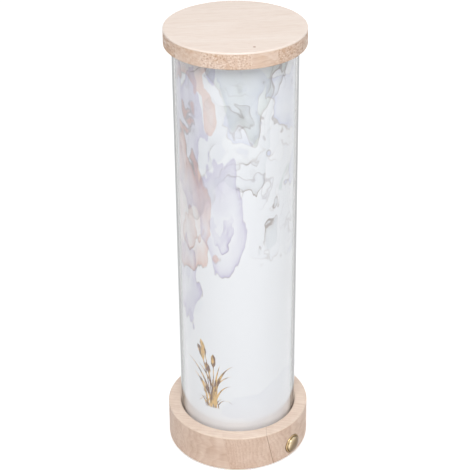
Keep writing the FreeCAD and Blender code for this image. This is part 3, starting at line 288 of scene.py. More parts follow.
class Effect:
    """A node group that several materials or meshes share, built when it is first used."""

    name = ""
    kind = "ShaderNodeTree"
    inputs: tuple[Port, ...] = ()
    outputs: tuple[Port, ...] = ()

    def wire(self, graph: Graph, given: dict[str, Term]) -> dict[str, Any]:
        """Build the group's inside.

        Args:
            graph: The group's own tree.
            given: The group's inputs.

        Returns:
            What each output is joined to.
        """
        raise NotImplementedError

    def tree(self) -> bpy.types.NodeTree:
        """Find the group, or build it.

        Returns:
            The group.
        """
        found = bpy.data.node_groups.get(self.name)
        if found is not None:
            return found
        tree = bpy.data.node_groups.new(self.name, self.kind)
        for side, ports in (("INPUT", self.inputs), ("OUTPUT", self.outputs)):
            for port in ports:
                socket = tree.interface.new_socket(port.name, in_out=side, socket_type=port.kind.value)
                if port.start is not None:
                    socket.default_value = port.start
        graph = Graph(tree)
        given = {socket.name: Term(graph, socket) for socket in tree.nodes.new("NodeGroupInput").outputs}
        result = tree.nodes.new("NodeGroupOutput")
        for name, value in self.wire(graph, given).items():
            graph.feed(result, name, value)
        return tree

    def use(self, coat: "Coat", **inputs: Any) -> dict[str, Term]:
        """Place the group in a material, at the piece's own coordinates.

        Args:
            coat: The material's tree.
            inputs: Values by name, with an underscore for each space. Names that it lacks are passed by.

        Returns:
            The placed group's outputs.
        """
        node = coat.add("ShaderNodeGroup", {"node_tree": self.tree()}, Coordinates=coat.where)
        for name, value in inputs.items():
            if name.replace("_", " ") in node.inputs:
                coat.feed(node, name.replace("_", " "), value)
        return {socket.name: Term(coat, socket) for socket in node.outputs}


def titled(values: Any) -> dict[str, Any]:
    """A dataclass's values, under names as a node group writes them."""
    return {name.title(): value for name, value in vars(values).items()}


class Timber(Effect):
    """Solid wood glued up from staves: rings, fibre, pores and joint lines, with painted shade on the sides
    and a painted highlight on the eased top edge.
    """

    name = "Timber"
    inputs = (*Kind.VECTOR.ports("Coordinates"), *Kind.COLOUR.ports("Pale", "Deep", "Pore"),
              *Kind.NUMBER.ports("Stave Width", "Stave Shift", "Joint Lean", "Joint Strength", "Face Level",
                                 "Face Joints", "Painted Side Shade", "Contrast", "Side Contrast", "Ray Share",
                                 "Pore Share", "Ring Spacing", "Ring Share", "Grain Turn", "Seed"))
    outputs = (*Kind.COLOUR.ports("Color"), *Kind.NUMBER.ports("Roughness", "Height"))
    heart: Point = (0.055, 0.03)
    warp_stretch: Place = (6.0, 55.0, 55.0)
    streak_stretch: Place = (26.0, 620.0, 620.0)
    cloud_stretch: Place = (16.0, 110.0, 110.0)
    pore_stretch: Place = (150.0, 980.0, 980.0)
    ray_stretch: Place = (170.0, 170.0, 16.0)

    def wire(self, graph: Graph, given: dict[str, Term]) -> dict[str, Any]:
        """Build the wood.

        Args:
            graph: The group's own tree.
            given: The group's inputs.

        Returns:
            Colour, roughness and height.
        """
        where, seed = given["Coordinates"], given["Seed"]
        x, y, z = graph.split(where)
        along = (z * given["Joint Lean"] + (x + given["Stave Shift"])) / given["Stave Width"]
        stave = graph.math("FLOOR", along) + seed
        below = given["Face Level"] - z
        face = graph.smooth(below, 0.0013, 0.0008)
        side = 1.0 - face
        # The eased top edge, lightened further down as a painted highlight.
        rim = face * graph.smooth(below, 0.00002, 0.0002)
        shown = 1.0 - face * (1.0 - given["Face Joints"])
        nearest = graph.math("ROUND", along) + seed
        open_joint = graph.math("LESS_THAN", (nearest + 0.5) % 3.0, 1.0) * 0.88 + 0.12
        edge = graph.math("PINGPONG", graph.math("FRACT", along), 0.5) * given["Stave Width"]
        joint = graph.smooth(edge, 0.00035, 0.0001) * (open_joint * shown)
        dice = graph.add("ShaderNodeTexWhiteNoise", {"noise_dimensions": "1D"}, W=stave).outputs
        chance = Term(graph, dice[0]) - 0.5
        cross = graph.math("GREATER_THAN", abs(stave % 3.0 - 1.0), 0.5) * side
        turn = cross * (0.5 * math.pi) + given["Grain Turn"] + chance * (shown * 0.25)
        fibre = graph.read("ShaderNodeVectorRotate", {"rotation_type": "Z_AXIS"}, Vector=where, Angle=turn)
        fibre = fibre + Term(graph, dice[1]) * graph.join(shown, shown, shown * 0.05)
        _, across, up = graph.split(fibre)
        warp = graph.noise(fibre * self.warp_stretch, 1.0)
        distance = graph.math("SQRT", (across + self.heart[0]) ** 2.0 + (up + self.heart[1]) ** 2.0)
        ring = graph.math("FRACT", (warp * 0.011 + distance) / given["Ring Spacing"])
        ring = ring ** 2.0 * graph.smooth(ring, 1.0, 0.85)
        streak = graph.noise(fibre * self.streak_stretch, 1.0)
        cloud = graph.noise(fibre * self.cloud_stretch, 1.0, seed=3.0)
        speck = graph.noise(fibre * self.pore_stretch, 1.0, 1.0)
        flare = graph.noise(where * self.ray_stretch, 1.0, 3.0)
        pores = graph.smooth(speck, 0.54, 0.68)
        glint = graph.smooth(speck, 0.44, 0.3)
        open_grain = (cross * 0.7 + (face * -0.2 + 0.3)) * given["Pore Share"]
        tone = (ring - 0.25) * given["Ring Share"] + chance * (shown * 0.2) + (streak - 0.5)
        tone = tone + (cloud - 0.5) * 1.3 + (flare - 0.5) * given["Ray Share"]
        tone = tone * (side * given["Side Contrast"] + given["Contrast"]) + 0.16
        # Painted shade deepens the upright sides, and a painted highlight lightens the eased top edge.
        tone = tone + side * given["Painted Side Shade"] + rim * -0.05
        tone = graph.math("MINIMUM", graph.math("MAXIMUM", tone, 0.0), 1.0)
        colour = graph.blend(tone, given["Pale"], given["Deep"])
        colour = graph.blend(glint * (open_grain * 0.5), colour, given["Pale"])
        colour = graph.blend(pores * (open_grain * 0.45), colour, given["Pore"])
        colour = graph.blend(joint * given["Joint Strength"], colour, given["Pore"])
        return {"Color": colour, "Roughness": pores * 0.2 + (streak * 0.15 + 0.4),
                "Height": streak * 0.4 + pores * -0.8 - joint}


class InkVeil(Effect):
    """A wash of thin ink that pools and dries with a darker tide line along its edge."""

    name = "Ink Veil"
    ripple_share = 0.16
    pool_fall = -11.0
    inputs = (*Kind.VECTOR.ports("Coordinates"),
              *Kind.NUMBER.ports("Scale", "Drape", "Warp", "Level", "Fade", "Band", "Line Width", "Seed"))
    outputs = Kind.NUMBER.ports("Wash", "Pool", "Line")

    def wire(self, graph: Graph, given: dict[str, Term]) -> dict[str, Any]:
        """Build the wash.

        Args:
            graph: The group's own tree.
            given: The group's inputs.

        Returns:
            The wash's strength, the ink pooled along its edge and the thin line round it.
        """
        scale, seed, band = given["Scale"], given["Seed"], given["Band"]
        where = given["Coordinates"] * graph.join(scale, scale, scale / given["Drape"])
        drift = (graph.noise(where, 0.9, 4.0, seed, output=1) - 0.5) * given["Warp"]
        other = seed + 7.3
        field = graph.noise(where + drift, 1.0, 4.0, other)
        ripple = graph.noise(given["Coordinates"], scale * 3.2, 6.0, other)
        cloud = graph.noise(where, 2.3, 4.0, other)
        broken = graph.smooth(graph.noise(where, 1.9, 3.0, seed), 0.4, 0.6)
        rise = ripple * self.ripple_share + ((field - 0.5) * 2.5 + 0.5) - given["Level"]
        inside = graph.smooth(rise, 0.0, 0.015)
        depth = graph.math("EXPONENT", -rise / given["Fade"])
        within = graph.math("FRACT", rise / band)
        body = depth * 0.55 + (1.0 - within) * (cloud * 0.5)
        pool = graph.math("EXPONENT", within * self.pool_fall) * inside
        width = given["Line Width"] * (broken * 0.8 + 0.4)
        near = graph.math("PINGPONG", rise / band, 0.5) * band
        line = graph.smooth(near, width, width * 0.3) * graph.smooth(rise, -0.03, 0.0)
        return {"Wash": inside * body, "Pool": pool * broken, "Line": line * broken * (depth * 0.7 + 0.3)}


class MouldedSkin(Effect):
    """The slight unevenness of a moulded or extruded surface."""

    name = "Moulded Skin"
    inputs = (*Kind.VECTOR.ports("Coordinates"), *Kind.NUMBER.ports("Scale", "Roughness", "Spread"))
    outputs = Kind.NUMBER.ports("Tone", "Roughness", "Height")

    def wire(self, graph: Graph, given: dict[str, Term]) -> dict[str, Any]:
        """Build the skin.

        Args:
            graph: The group's own tree.
            given: The group's inputs.

        Returns:
            Tone, roughness and height.
        """
        fine = graph.noise(given["Coordinates"], given["Scale"])
        broad = graph.noise(given["Coordinates"], given["Scale"] * 0.06)
        roughness = given["Roughness"] + (broad - 0.5) * given["Spread"]
        return {"Tone": broad, "Roughness": roughness, "Height": fine}


class BrushedSkin(Effect):
    """Fine lines left by turning, drawing or polishing a metal."""

    name = "Brushed Skin"
    inputs = (*Kind.VECTOR.ports("Coordinates", "Stretch"), *Kind.NUMBER.ports("Roughness", "Spread"))
    outputs = MouldedSkin.outputs
    smudge_scale = 260.0

    def wire(self, graph: Graph, given: dict[str, Term]) -> dict[str, Any]:
        """Build the lines.

        Args:
            graph: The group's own tree.
            given: The group's inputs.

        Returns:
            Tone, roughness and height.
        """
        lines = graph.noise(given["Coordinates"] * given["Stretch"], 1.0, 3.0)
        smudge = graph.noise(given["Coordinates"], self.smudge_scale, 2.0, 5.0)
        roughness = given["Roughness"] + (lines + smudge - 1.0) * given["Spread"]
        return {"Tone": smudge, "Roughness": roughness, "Height": lines}


class Coat(Graph):
    """A material's tree round its Principled shader."""

    def __init__(self, tree: bpy.types.NodeTree) -> None:
        """Add the shader and the piece's own coordinates, in metres."""
        super().__init__(tree)
        self.shader = self.add("ShaderNodeBsdfPrincipled")
        self.where = self.read("ShaderNodeTexCoord", output="Object")

    def set(self, **inputs: Any) -> None:
        """Set the shader's inputs, by name with an underscore for each space."""
        for name, value in inputs.items():
            self.feed(self.shader, name.replace("_", " "), value)


@dataclass(frozen=True)
class Finish:
    """A named material, made when it is first used."""

    name: str

    def dress(self, coat: Coat) -> Any:
        """Join this finish's own nodes to the shader.

        Args:
            coat: The material's tree.

        Returns:
            The shader that shows, where it isn't the Principled one.
        """
        raise NotImplementedError

    def material(self) -> bpy.types.Material:
        """Find the material, or build it.

        Returns:
            The material.
        """
        found = bpy.data.materials.get(self.name)
        if found is not None:
            return found
        material = bpy.data.materials.new(self.name)
        material.use_nodes = True
        material.node_tree.nodes.clear()
        coat = Coat(material.node_tree)
        coat.add("ShaderNodeOutputMaterial", Surface=self.dress(coat) or coat.shader.outputs[0])
        return material


@dataclass(frozen=True)
class WoodFinish(Finish):
    """Pale sanded hardwood under a thin satin seal."""

    stave_width: float
    stave_shift: float
    joint_lean: float
    joint_strength: float
    face_level: float
    face_joints: float
    grain_turn: float
    pale: Colour
    deep: Colour
    pore: Colour
    # The next field paints shade: how much deeper the upright sides are than the top face.
    painted_side_shade: float
    contrast: float
    side_contrast: float
    ray_share: float
    pore_share: float
    knot: Place = (0.0, 0.0, -1.0)
    knot_size: float = 0.0013
    seed: float = 0.0
    ring_spacing: float = 0.0042
    ring_share: float = 0.16

    def dress(self, coat: Coat) -> None:
        """Join the wood to the shader.

        Args:
            coat: The material's tree.
        """
        wood = Timber().use(coat, **titled(self))
        knot = coat.math("DISTANCE", coat.where, self.knot)
        knot = coat.smooth(knot, self.knot_size, 0.3 * self.knot_size)
        coat.set(Base_Color=coat.blend(knot * 0.85, wood["Color"], self.pore), Roughness=wood["Roughness"],
                 Specular_IOR_Level=0.35, Normal=coat.bump(wood["Height"], 0.5, 0.00012))


@dataclass(frozen=True)
class PlasticFinish(Finish):
    """A moulded or extruded plastic, rubber, foam or lacquer."""

    colour: Colour
    roughness: float = 0.45
    grain: float = 2500.0
    relief: float = 0.00002
    glow: float = 0.0
    glow_reach: Place = (0.002, 0.002, 0.002)

    def dress(self, coat: Coat) -> None:
        """Join the plastic to the shader.

        Args:
            coat: The material's tree.
        """
        skin = MouldedSkin().use(coat, Scale=self.grain, Roughness=self.roughness, Spread=0.2)
        shade = tuple(0.9 * part for part in self.colour)
        coat.set(Base_Color=coat.blend(skin["Tone"], self.colour, shade), Roughness=skin["Roughness"],
                 Normal=coat.bump(skin["Height"], 0.4, self.relief), Subsurface_Weight=self.glow,
                 Subsurface_Radius=self.glow_reach)


@dataclass(frozen=True)
class MetalFinish(Finish):
    """A turned, drawn or plated metal, deeper in colour where it turns away, as painted reflection shade.
    """

    colour: Colour
    tarnish: Colour
    roughness: float = 0.25
    stretch: Place = (900.0, 900.0, 60.0)
    # The colour and share of the painted reflection shade where the surface turns away from the eye.
    depth: Colour = (0.0, 0.0, 0.0)
    depth_share: float = 0.0

    def dress(self, coat: Coat) -> None:
        """Join the metal to the shader.

        Args:
            coat: The material's tree.
        """
        skin = BrushedSkin().use(coat, Stretch=self.stretch, Roughness=self.roughness, Spread=0.12)
        colour = coat.blend(coat.smooth(skin["Tone"], 0.35, 0.75), self.colour, self.tarnish)
        # Painted reflection shade: deeper colour where the surface turns away from the eye.
        if self.depth_share > 0:
            away = coat.smooth(coat.facing(), 0.12, 0.55)
            colour = coat.blend(away * self.depth_share, colour, self.depth)
        coat.set(Base_Color=colour, Roughness=skin["Roughness"], Metallic=1.0,
                 Normal=coat.bump(skin["Height"], 0.25, 0.00001))


@dataclass(frozen=True)
class BoardFinish(Finish):
    """A circuit board: lacquer over copper tracks, with bare landings."""

    lacquer: Colour
    track: Colour
    landing: Colour = (0.62, 0.60, 0.55)

    def dress(self, coat: Coat) -> None:
        """Join the board to the shader.

        Args:
            coat: The material's tree.
        """
        tracks = coat.read("ShaderNodeTexBrick", {"offset": 0.37, "squash": 0.6}, 1, Vector=coat.where,
                           Scale=260.0, Mortar_Size=0.035)
        spots = coat.smooth(coat.read("ShaderNodeTexVoronoi", Vector=coat.where, Scale=330.0), 0.2, 0.17)
        colour = coat.blend(tracks, self.lacquer, self.track)
        coat.set(Base_Color=coat.blend(spots, colour, self.landing), Roughness=spots * 0.2 + 0.3,
                 Normal=coat.bump(tracks, 0.3, 0.00003))


@dataclass(frozen=True)
class ClearFinish(Finish):
    """Clear polished acrylic, with painted shade that greys the wall where the eye meets it edge on."""

    clear: Colour = (0.98, 0.985, 0.99)
    # The tint of the painted shade on the wall where it is seen edge on.
    edge: Colour = (0.002, 0.003, 0.0035)
    passed: Colour = (0.97, 0.975, 0.98)

    def dress(self, coat: Coat) -> Any:
        """Join the acrylic to the shader.

        Args:
            coat: The material's tree.

        Returns:
            The shader that lets light through to what stands inside.
        """
        geometry = coat.add("ShaderNodeNewGeometry").outputs
        upright = coat.smooth(abs(coat.split(geometry["Normal"])[2]), 0.25, 0.05)
        outside = upright * (1.0 - Term(coat, geometry["Backfacing"]))
        # Painted shade: the wall is tinted dark where it is seen edge on.
        edge = coat.smooth(coat.facing(), 0.6, 0.81) * outside
        skin = MouldedSkin().use(coat, Scale=180.0, Roughness=0.02, Spread=0.02)
        coat.set(Base_Color=coat.blend(edge, self.clear, self.edge), Transmission_Weight=1.0,
                 Roughness=skin["Roughness"], IOR=1.49)
        path = coat.add("ShaderNodeLightPath").outputs
        lit = coat.math("MAXIMUM", path["Is Shadow Ray"], path["Is Diffuse Ray"])
        plain = coat.add("ShaderNodeBsdfTransparent", Color=self.passed).outputs[0]
        return coat.either(lit, coat.shader.outputs[0], plain)


@dataclass(frozen=True)
class Wash:
    """One veil of ink on the film and where it lies."""

    tint: Colour
    pool: Colour
    strength: float
    azimuth: float
    reach: Point
    rise: Point
    scale: float
    seed: float
    drape: float = 1.4
    warp: float = 1.6
    level: float = 0.42
    fade: float = 0.35
    band: float = 0.3
    line: float = 0.4


@dataclass(frozen=True)
class FilmFinish(Finish):
    """Satin white film with a soft printed wash of inks, made paler at the foot by painted light."""

    paper: Colour
    height: float
    radius: float
    fleck: Colour = (0.7, 0.7, 0.72)
    vein: Colour = (0.26, 0.17, 0.13)
    line_width: float = 0.009
    clear_level: float = 1.25
    # Painted light: the film is made paler and warmer below this level.
    foot_top: float = 0.040
    foot_tone: Colour = (0.98, 0.95, 0.94)
    washes: tuple[Wash, ...] = (
        Wash((0.72, 0.78, 0.74), (0.62, 0.56, 0.48), 0.7, 10.0, (0.0, 0.9), (0.35, 0.95), 11.0, 1.0,
             band=0.22, line=0.7),
        Wash((0.70, 0.73, 0.87), (0.60, 0.60, 0.80), 0.5, 40.0, (-0.2, 0.8), (0.30, 1.1), 19.0, 5.0),
        Wash((0.90, 0.62, 0.51), (0.62, 0.32, 0.22), 0.8, -48.0, (0.3, 1.05), (0.22, 0.7), 17.0, 9.0,
             drape=2.2, band=0.24, line=0.6, fade=0.22),
        Wash((0.60, 0.54, 0.72), (0.40, 0.30, 0.60), 0.7, -40.0, (0.45, 1.05), (0.16, 0.6), 26.0, 16.0,
             drape=2.6, line=0.5, fade=0.2),
        Wash((0.93, 0.94, 0.96), (0.80, 0.80, 0.88), 0.4, 30.0, (-0.4, 0.6), (0.1, 0.9), 13.0, 44.0,
             drape=1.2, band=0.11, fade=0.8, line=0.3),
        Wash((0.78, 0.81, 0.82), (0.52, 0.48, 0.46), 0.5, -10.0, (-0.3, 0.9), (0.25, 0.9), 15.0, 21.0,
             drape=1.8, line=0.7),
        Wash((0.72, 0.78, 0.80), (0.60, 0.56, 0.56), 0.6, 165.0, (0.1, 0.95), (0.3, 0.85), 13.0, 52.0,
             drape=1.8, band=0.24, line=0.6),
        Wash((0.72, 0.70, 0.86), (0.52, 0.46, 0.72), 0.6, 125.0, (0.35, 1.05), (0.2, 0.8), 22.0, 61.0,
             drape=2.2, line=0.5, fade=0.25),
        Wash((0.92, 0.70, 0.60), (0.66, 0.40, 0.30), 0.6, -150.0, (0.4, 1.05), (0.3, 0.8), 18.0, 73.0,
             drape=2.2, band=0.24, line=0.5, fade=0.25),
        Wash((0.84, 0.85, 0.90), (0.78, 0.78, 0.86), 0.35, 0.0, (-2.0, -1.5), (-0.8, -0.5), 9.0, 30.0,
             level=0.5, fade=0.6, line=0.05))

    def dress(self, coat: Coat) -> None:
        """Join the printed film to the shader.

        Args:
            coat: The material's tree.
        """
        x, y, z = coat.split(coat.where)
        rise = z / self.height
        colour = coat.blend(coat.noise(coat.where, 2200.0) * 0.12, self.paper, self.fleck)
        for wash in self.washes:
            turn = math.radians(wash.azimuth)
            heading = x * (math.sin(turn) / self.radius) + y * (-math.cos(turn) / self.radius)
            wander = coat.noise(coat.where, 9.0, 1.0, wash.seed) - 0.5
            beside = coat.smooth(wander * 1.1 + heading, *wash.reach)
            place = beside * coat.smooth(wander * 0.4 + rise, *wash.rise)
            level = place * (wash.level - self.clear_level) + self.clear_level
            veil = InkVeil().use(coat, **{**titled(wash), "Level": level, "Line_Width": self.line_width})
            layers = {"Wash": (wash.strength, wash.tint), "Pool": (wash.strength, wash.pool),
                      "Line": (wash.line, self.vein)}
            for layer, (strength, tint) in layers.items():
                colour = coat.blend(veil[layer] * strength, colour, tint, "MULTIPLY")
        # Painted light at the foot of the film, where the clear wall would gather light.
        foot = coat.smooth(z, self.foot_top, 0.6 * self.foot_top)
        skin = MouldedSkin().use(coat, Scale=900.0, Roughness=0.5, Spread=0.15)
        coat.set(Base_Color=coat.blend(foot * 0.8, colour, self.foot_tone), Roughness=skin["Roughness"],
                 Specular_IOR_Level=0.25)


@dataclass(frozen=True)
class InkFinish(Finish):
    """Golden-brown printed strokes."""

    gold: Colour = (0.72, 0.46, 0.16)
    brown: Colour = (0.16, 0.065, 0.03)
    stretch: Place = (420.0, 420.0, 160.0)

    def dress(self, coat: Coat) -> None:
        """Join the ink to the shader.

        Args:
            coat: The material's tree.
        """
        stroke = coat.noise(coat.where * self.stretch, 1.0, 3.0)
        coat.set(Base_Color=coat.blend(coat.smooth(stroke, 0.4, 0.6), self.brown, self.gold),
                 Roughness=stroke * 0.3 + 0.25)


@dataclass(frozen=True)
class FloorFinish(Finish):
    """Plain white that keeps a shadow and looks white to the camera."""

    tone: Colour = (0.86, 0.86, 0.86)
    lift: float = 0.5

    def dress(self, coat: Coat) -> None:
        """Join the white to the shader.

        Args:
            coat: The material's tree.
        """
        coat.set(Base_Color=self.tone, Roughness=0.9, Specular_IOR_Level=0.1,
                 Emission_Color=(1.0, 1.0, 1.0), Emission_Strength=coat.seen() * self.lift)


def eased(corners: Sequence[Point], radii: Sequence[float], steps: int = 5) -> list[Point]:
    """Round the corners of an outline.

    Args:
        corners: Radius and height of each corner.
        radii: The rounding at each corner, 0 to leave it sharp.
        steps: Arc steps at each rounded corner.

    Returns:
        The outline's points.
    """
    points: list[Point] = []
    for index, radius in enumerate(radii):
        here = Vector(corners[index])
        if radius == 0:
            points.append(tuple(here))
            continue
        back = (Vector(corners[index - 1]) - here).normalized()
        ahead = (Vector(corners[(index + 1) % len(corners)]) - here).normalized()
        half = 0.5 * back.angle(ahead)
        middle = here + (back + ahead).normalized() * (radius / math.sin(half))
        start = here + back * (radius / math.tan(half)) - middle
        sweep = (here + ahead * (radius / math.tan(half)) - middle).angle_signed(start)
        for step in range(steps + 1):
            points.append(tuple(middle + Matrix.Rotation(sweep * step / steps, 2) @ start))
    return points


def even_out(piece: Object) -> None:
    """Let large faces lead the shading, so that a flat face next to a rounding looks flat."""
    piece.modifiers.new("Even shading", "WEIGHTED_NORMAL").keep_sharp = True


class Soften(Effect):
    """Joins a frame piece's loose triangles and shades its curves smooth."""

    name = "Soften"
    kind = "GeometryNodeTree"
    inputs = (*Kind.GEOMETRY.ports("Geometry"), Port("Join Distance", start=JOIN_DISTANCE),
              Port("Crisp Angle", start=math.radians(28)))
    outputs = Kind.GEOMETRY.ports("Geometry")

    def wire(self, graph: Graph, given: dict[str, Term]) -> dict[str, Any]:
        """Build the smoothing.

        Args:
            graph: The group's own tree.
            given: The group's inputs.

        Returns:
            The smooth-shaded geometry.
        """
        joined = graph.read("GeometryNodeMergeByDistance", Geometry=given["Geometry"],
                            Distance=given["Join Distance"])
        whole = graph.read("GeometryNodeSetShadeSmooth", {"domain": "FACE"}, Geometry=joined)
        gentle = graph.math("LESS_THAN", graph.read("GeometryNodeInputMeshEdgeAngle"), given["Crisp Angle"])
        return {"Geometry": graph.read("GeometryNodeSetShadeSmooth", {"domain": "EDGE"}, Geometry=whole,
                                       Shade_Smooth=gentle)}


class Grower(Effect):
    """A node group that makes a whole piece."""

    kind = "GeometryNodeTree"
    outputs = Soften.outputs

    def dressed(self, graph: Graph, shape: Term, given: dict[str, Term]) -> dict[str, Any]:
        """Make the shape real and give it its finish.

        Args:
            graph: The group's own tree.
            shape: The geometry.
            given: The group's inputs.

        Returns:
            The geometry as the group's output.
        """
        solid = graph.read("GeometryNodeRealizeInstances", Geometry=shape)
        return {"Geometry": graph.read("GeometryNodeSetMaterial", Geometry=solid, Material=given["Finish"])}


class ReedClump(Grower):
    """Leaves or seed heads that grow from one line and lie on a cylinder."""

    name = "Reed Clump"
    across_points, along_points = 5, 40
    inputs = (*Kind.GEOMETRY.ports("Geometry"), *Kind.COUNT.ports("Count", "Seed"),
              *Kind.NUMBER.ports("Tall", "Spread", "Lean", "Blade Width", "Head Share", "Radius", "Azimuth",
                                 "Foot Level", "Thickness"),
              *Kind.MATERIAL.ports("Finish"))
    draws = (("tall", 0.45, 1.0), ("foot", -0.5, 0.5), ("lean", -1.0, 1.0))

    def chance(self, graph: Graph, low: float, high: float, seed: Term) -> Term:
        """A random number for each blade.

        Args:
            graph: The group's own tree.
            low: The least.
            high: The most.
            seed: Keeps this number apart from the blade's other ones.

        Returns:
            The number.
        """
        node = graph.add("FunctionNodeRandomValue", {"data_type": "FLOAT"}, Seed=seed)
        graph.feed(node, 2, low)
        graph.feed(node, 3, high)
        return Term(graph, node.outputs[1])

    def wire(self, graph: Graph, given: dict[str, Term]) -> dict[str, Any]:
        """Build the clump.

        Args:
            graph: The group's own tree.
            given: The group's inputs.

        Returns:
            The blades, thin and closed.
        """
        points = graph.read("GeometryNodePoints", Count=given["Count"])
        kind = {"data_type": "FLOAT", "domain": "POINT"}
        for index, (name, low, high) in enumerate(self.draws):
            value = self.chance(graph, low, high, given["Seed"] + 10.0 * index)
            points = graph.read("GeometryNodeStoreNamedAttribute", kind, Geometry=points, Name=name,
                                Value=value)
        blade = graph.read("GeometryNodeMeshGrid", Size_X=1.0, Size_Y=1.0, Vertices_X=self.across_points,
                            Vertices_Y=self.along_points)
        placed = graph.read("GeometryNodeInstanceOnPoints", Points=points, Instance=blade)
        loose = graph.read("GeometryNodeRealizeInstances", Geometry=placed)
        own = {name: graph.read("GeometryNodeInputNamedAttribute", {"data_type": "FLOAT"}, Name=name)
               for name, _, _ in self.draws}
        side, along, _ = graph.split(graph.read("GeometryNodeInputPosition"))
        along = along + 0.5
        tall = own["tall"] * given["Tall"]
        leaf = along ** 0.6 * (1.0 - along) ** 0.8 * 1.3 + 0.03
        head = graph.smooth(abs(along - 0.88), 0.13, 0.05) * 0.84 + 0.16
        stem = head * (graph.smooth(along, 1.0, 0.985) * graph.smooth(along, -0.02, 0.1))
        shape = stem * given["Head Share"] + leaf * (1.0 - given["Head Share"])
        bow = along ** 2.2 * (own["lean"] * given["Lean"])
        across = side * shape * given["Blade Width"] + (own["foot"] * given["Spread"] + bow * tall)
        droop = 1.0 - bow ** 2.0 * 0.9
        level = along * droop * tall + given["Foot Level"]
        radius = given["Radius"]
        angle = given["Azimuth"] + across / radius
        wrapped = graph.join(graph.math("SINE", angle) * radius, graph.math("COSINE", angle) * -radius,
                             level)
        sheet = graph.read("GeometryNodeSetPosition", Geometry=loose, Position=wrapped)
        both = graph.add("GeometryNodeJoinGeometry")
        raised = graph.read("GeometryNodeExtrudeMesh", {"mode": "FACES"}, Mesh=sheet, Individual=False,
                            Offset_Scale=given["Thickness"])
        for skin in (raised, graph.read("GeometryNodeFlipFaces", Mesh=sheet)):
            graph.feed(both, 0, skin)
        whole = graph.read("GeometryNodeMergeByDistance", Geometry=both.outputs[0], Distance=JOIN_DISTANCE)
        return self.dressed(graph, whole, given)


class Coil(Grower):
    """A round wire wound into a spring that stands on the level of its first turn."""

    name = "Coil"
    inputs = (*Kind.GEOMETRY.ports("Geometry"), *Kind.MATERIAL.ports("Finish"),
              *Kind.NUMBER.ports("Turns", "Radius", "Height", "Wire Radius"))

    def wire(self, graph: Graph, given: dict[str, Term]) -> dict[str, Any]:
        """Build the coil.

        Args:
            graph: The group's own tree.
            given: The group's inputs.

        Returns:
            The closed wire.
        """
        path = graph.read("GeometryNodeCurveSpiral", Resolution=40, Rotations=given["Turns"],
                          Start_Radius=given["Radius"], End_Radius=given["Radius"], Height=given["Height"])
        section = graph.read("GeometryNodeCurvePrimitiveCircle", Resolution=14, Radius=given["Wire Radius"])
        wound = graph.read("GeometryNodeCurveToMesh", Curve=path, Profile_Curve=section, Fill_Caps=True)
        return self.dressed(graph, wound, given)


@dataclass(frozen=True)
class Piece:
    """A piece to be made: its name, its finish, its body and the degrees past which an edge stays crisp."""

    name: str
    finish: Finish
    body: Body
    crisp: float = 40.0

    def of_mesh(self, mesh: bpy.types.Mesh) -> Object:
        """Shade a mesh, give it its finish and let it ride on its body.

        Args:
            mesh: The piece's mesh, in place.

        Returns:
            The piece.
        """
        mesh.shade_smooth()
        mesh.set_sharp_from_angle(angle=math.radians(self.crisp))
        mesh.materials.clear()
        mesh.materials.append(self.finish.material())
        piece = bpy.data.objects.new(self.name, mesh)
        bpy.context.scene.collection.objects.link(piece)
        even_out(piece)
        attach(piece, self.body.value)
        log.info("%s: %d faces on %s", self.name, len(mesh.polygons), self.body.value)
        return piece

    def of_faces(self, vertices: Iterable[Any], faces: Iterable[Any]) -> Object:
        """Make the piece from its points and faces.

        Args:
            vertices: The points, in metres.
            faces: The faces, as numbers of points.

        Returns:
            The piece.
        """
        mesh = bpy.data.meshes.new(self.name)
        mesh.from_pydata([tuple(point) for point in vertices], [], [tuple(face) for face in faces])
        build = bmesh.new()
        build.from_mesh(mesh)
        bmesh.ops.recalc_face_normals(build, faces=build.faces)
        build.to_mesh(mesh)
        build.free()
        return self.of_mesh(mesh)

    def turned(self, outline: Sequence[Point], place: Matrix = UNTURNED, segments: int = 96) -> Object:
        """Turn an outline about an axis.

        Args:
            outline: Radius and height of each point, closed back to the first, or from axis to axis.
            place: Where the axis stands.
            segments: Steps round the axis.

        Returns:
            The piece.
        """
        vertices: list[Vector] = []
        rings: list[list[int]] = []
        for radius, height in outline:
            ring = []
            for step in range(1 if radius < 1e-7 else segments):
                angle = 2 * math.pi * step / segments
                ring.append(len(vertices))
                spot = Vector((radius * math.cos(angle), radius * math.sin(angle), height))
                vertices.append(place @ spot)
            rings.append(ring)
        closed = len(rings[0]) > 1
        faces = []
        for index in range(len(rings) if closed else len(rings) - 1):
            low, high = rings[index], rings[(index + 1) % len(rings)]
            for step in range(segments):
                after = (step + 1) % segments
                corners = [low[step % len(low)], low[after % len(low)], high[after % len(high)],
                           high[step % len(high)]]
                faces.append(list(dict.fromkeys(corners)))
        return self.of_faces(vertices, faces)

    def grown(self, effect: Grower, place: Matrix = UNTURNED, **inputs: Any) -> Object:
        """Make the piece with a Geometry Nodes group, as one plain mesh.

        Args:
            effect: The group that makes it.
            place: Where the piece stands.
            inputs: The group's inputs by name, with an underscore for each space.

        Returns:
            The piece.
        """
        holder = bpy.data.objects.new("Grower", bpy.data.meshes.new("Grower"))
        bpy.context.scene.collection.objects.link(holder)
        modifier = holder.modifiers.new(effect.name, "NODES")
        modifier.node_group = effect.tree()
        sockets = {item.name: item.identifier for item in modifier.node_group.interface.items_tree
                   if item.in_out == "INPUT"}
        for label, value in {**inputs, "Finish": self.finish.material()}.items():
            modifier[sockets[label.replace("_", " ")]] = value
        depsgraph = bpy.context.evaluated_depsgraph_get()
        mesh = bpy.data.meshes.new_from_object(holder.evaluated_get(depsgraph))
        bpy.data.objects.remove(holder)
        mesh.name = self.name
        mesh.transform(place)
        return self.of_mesh(mesh)


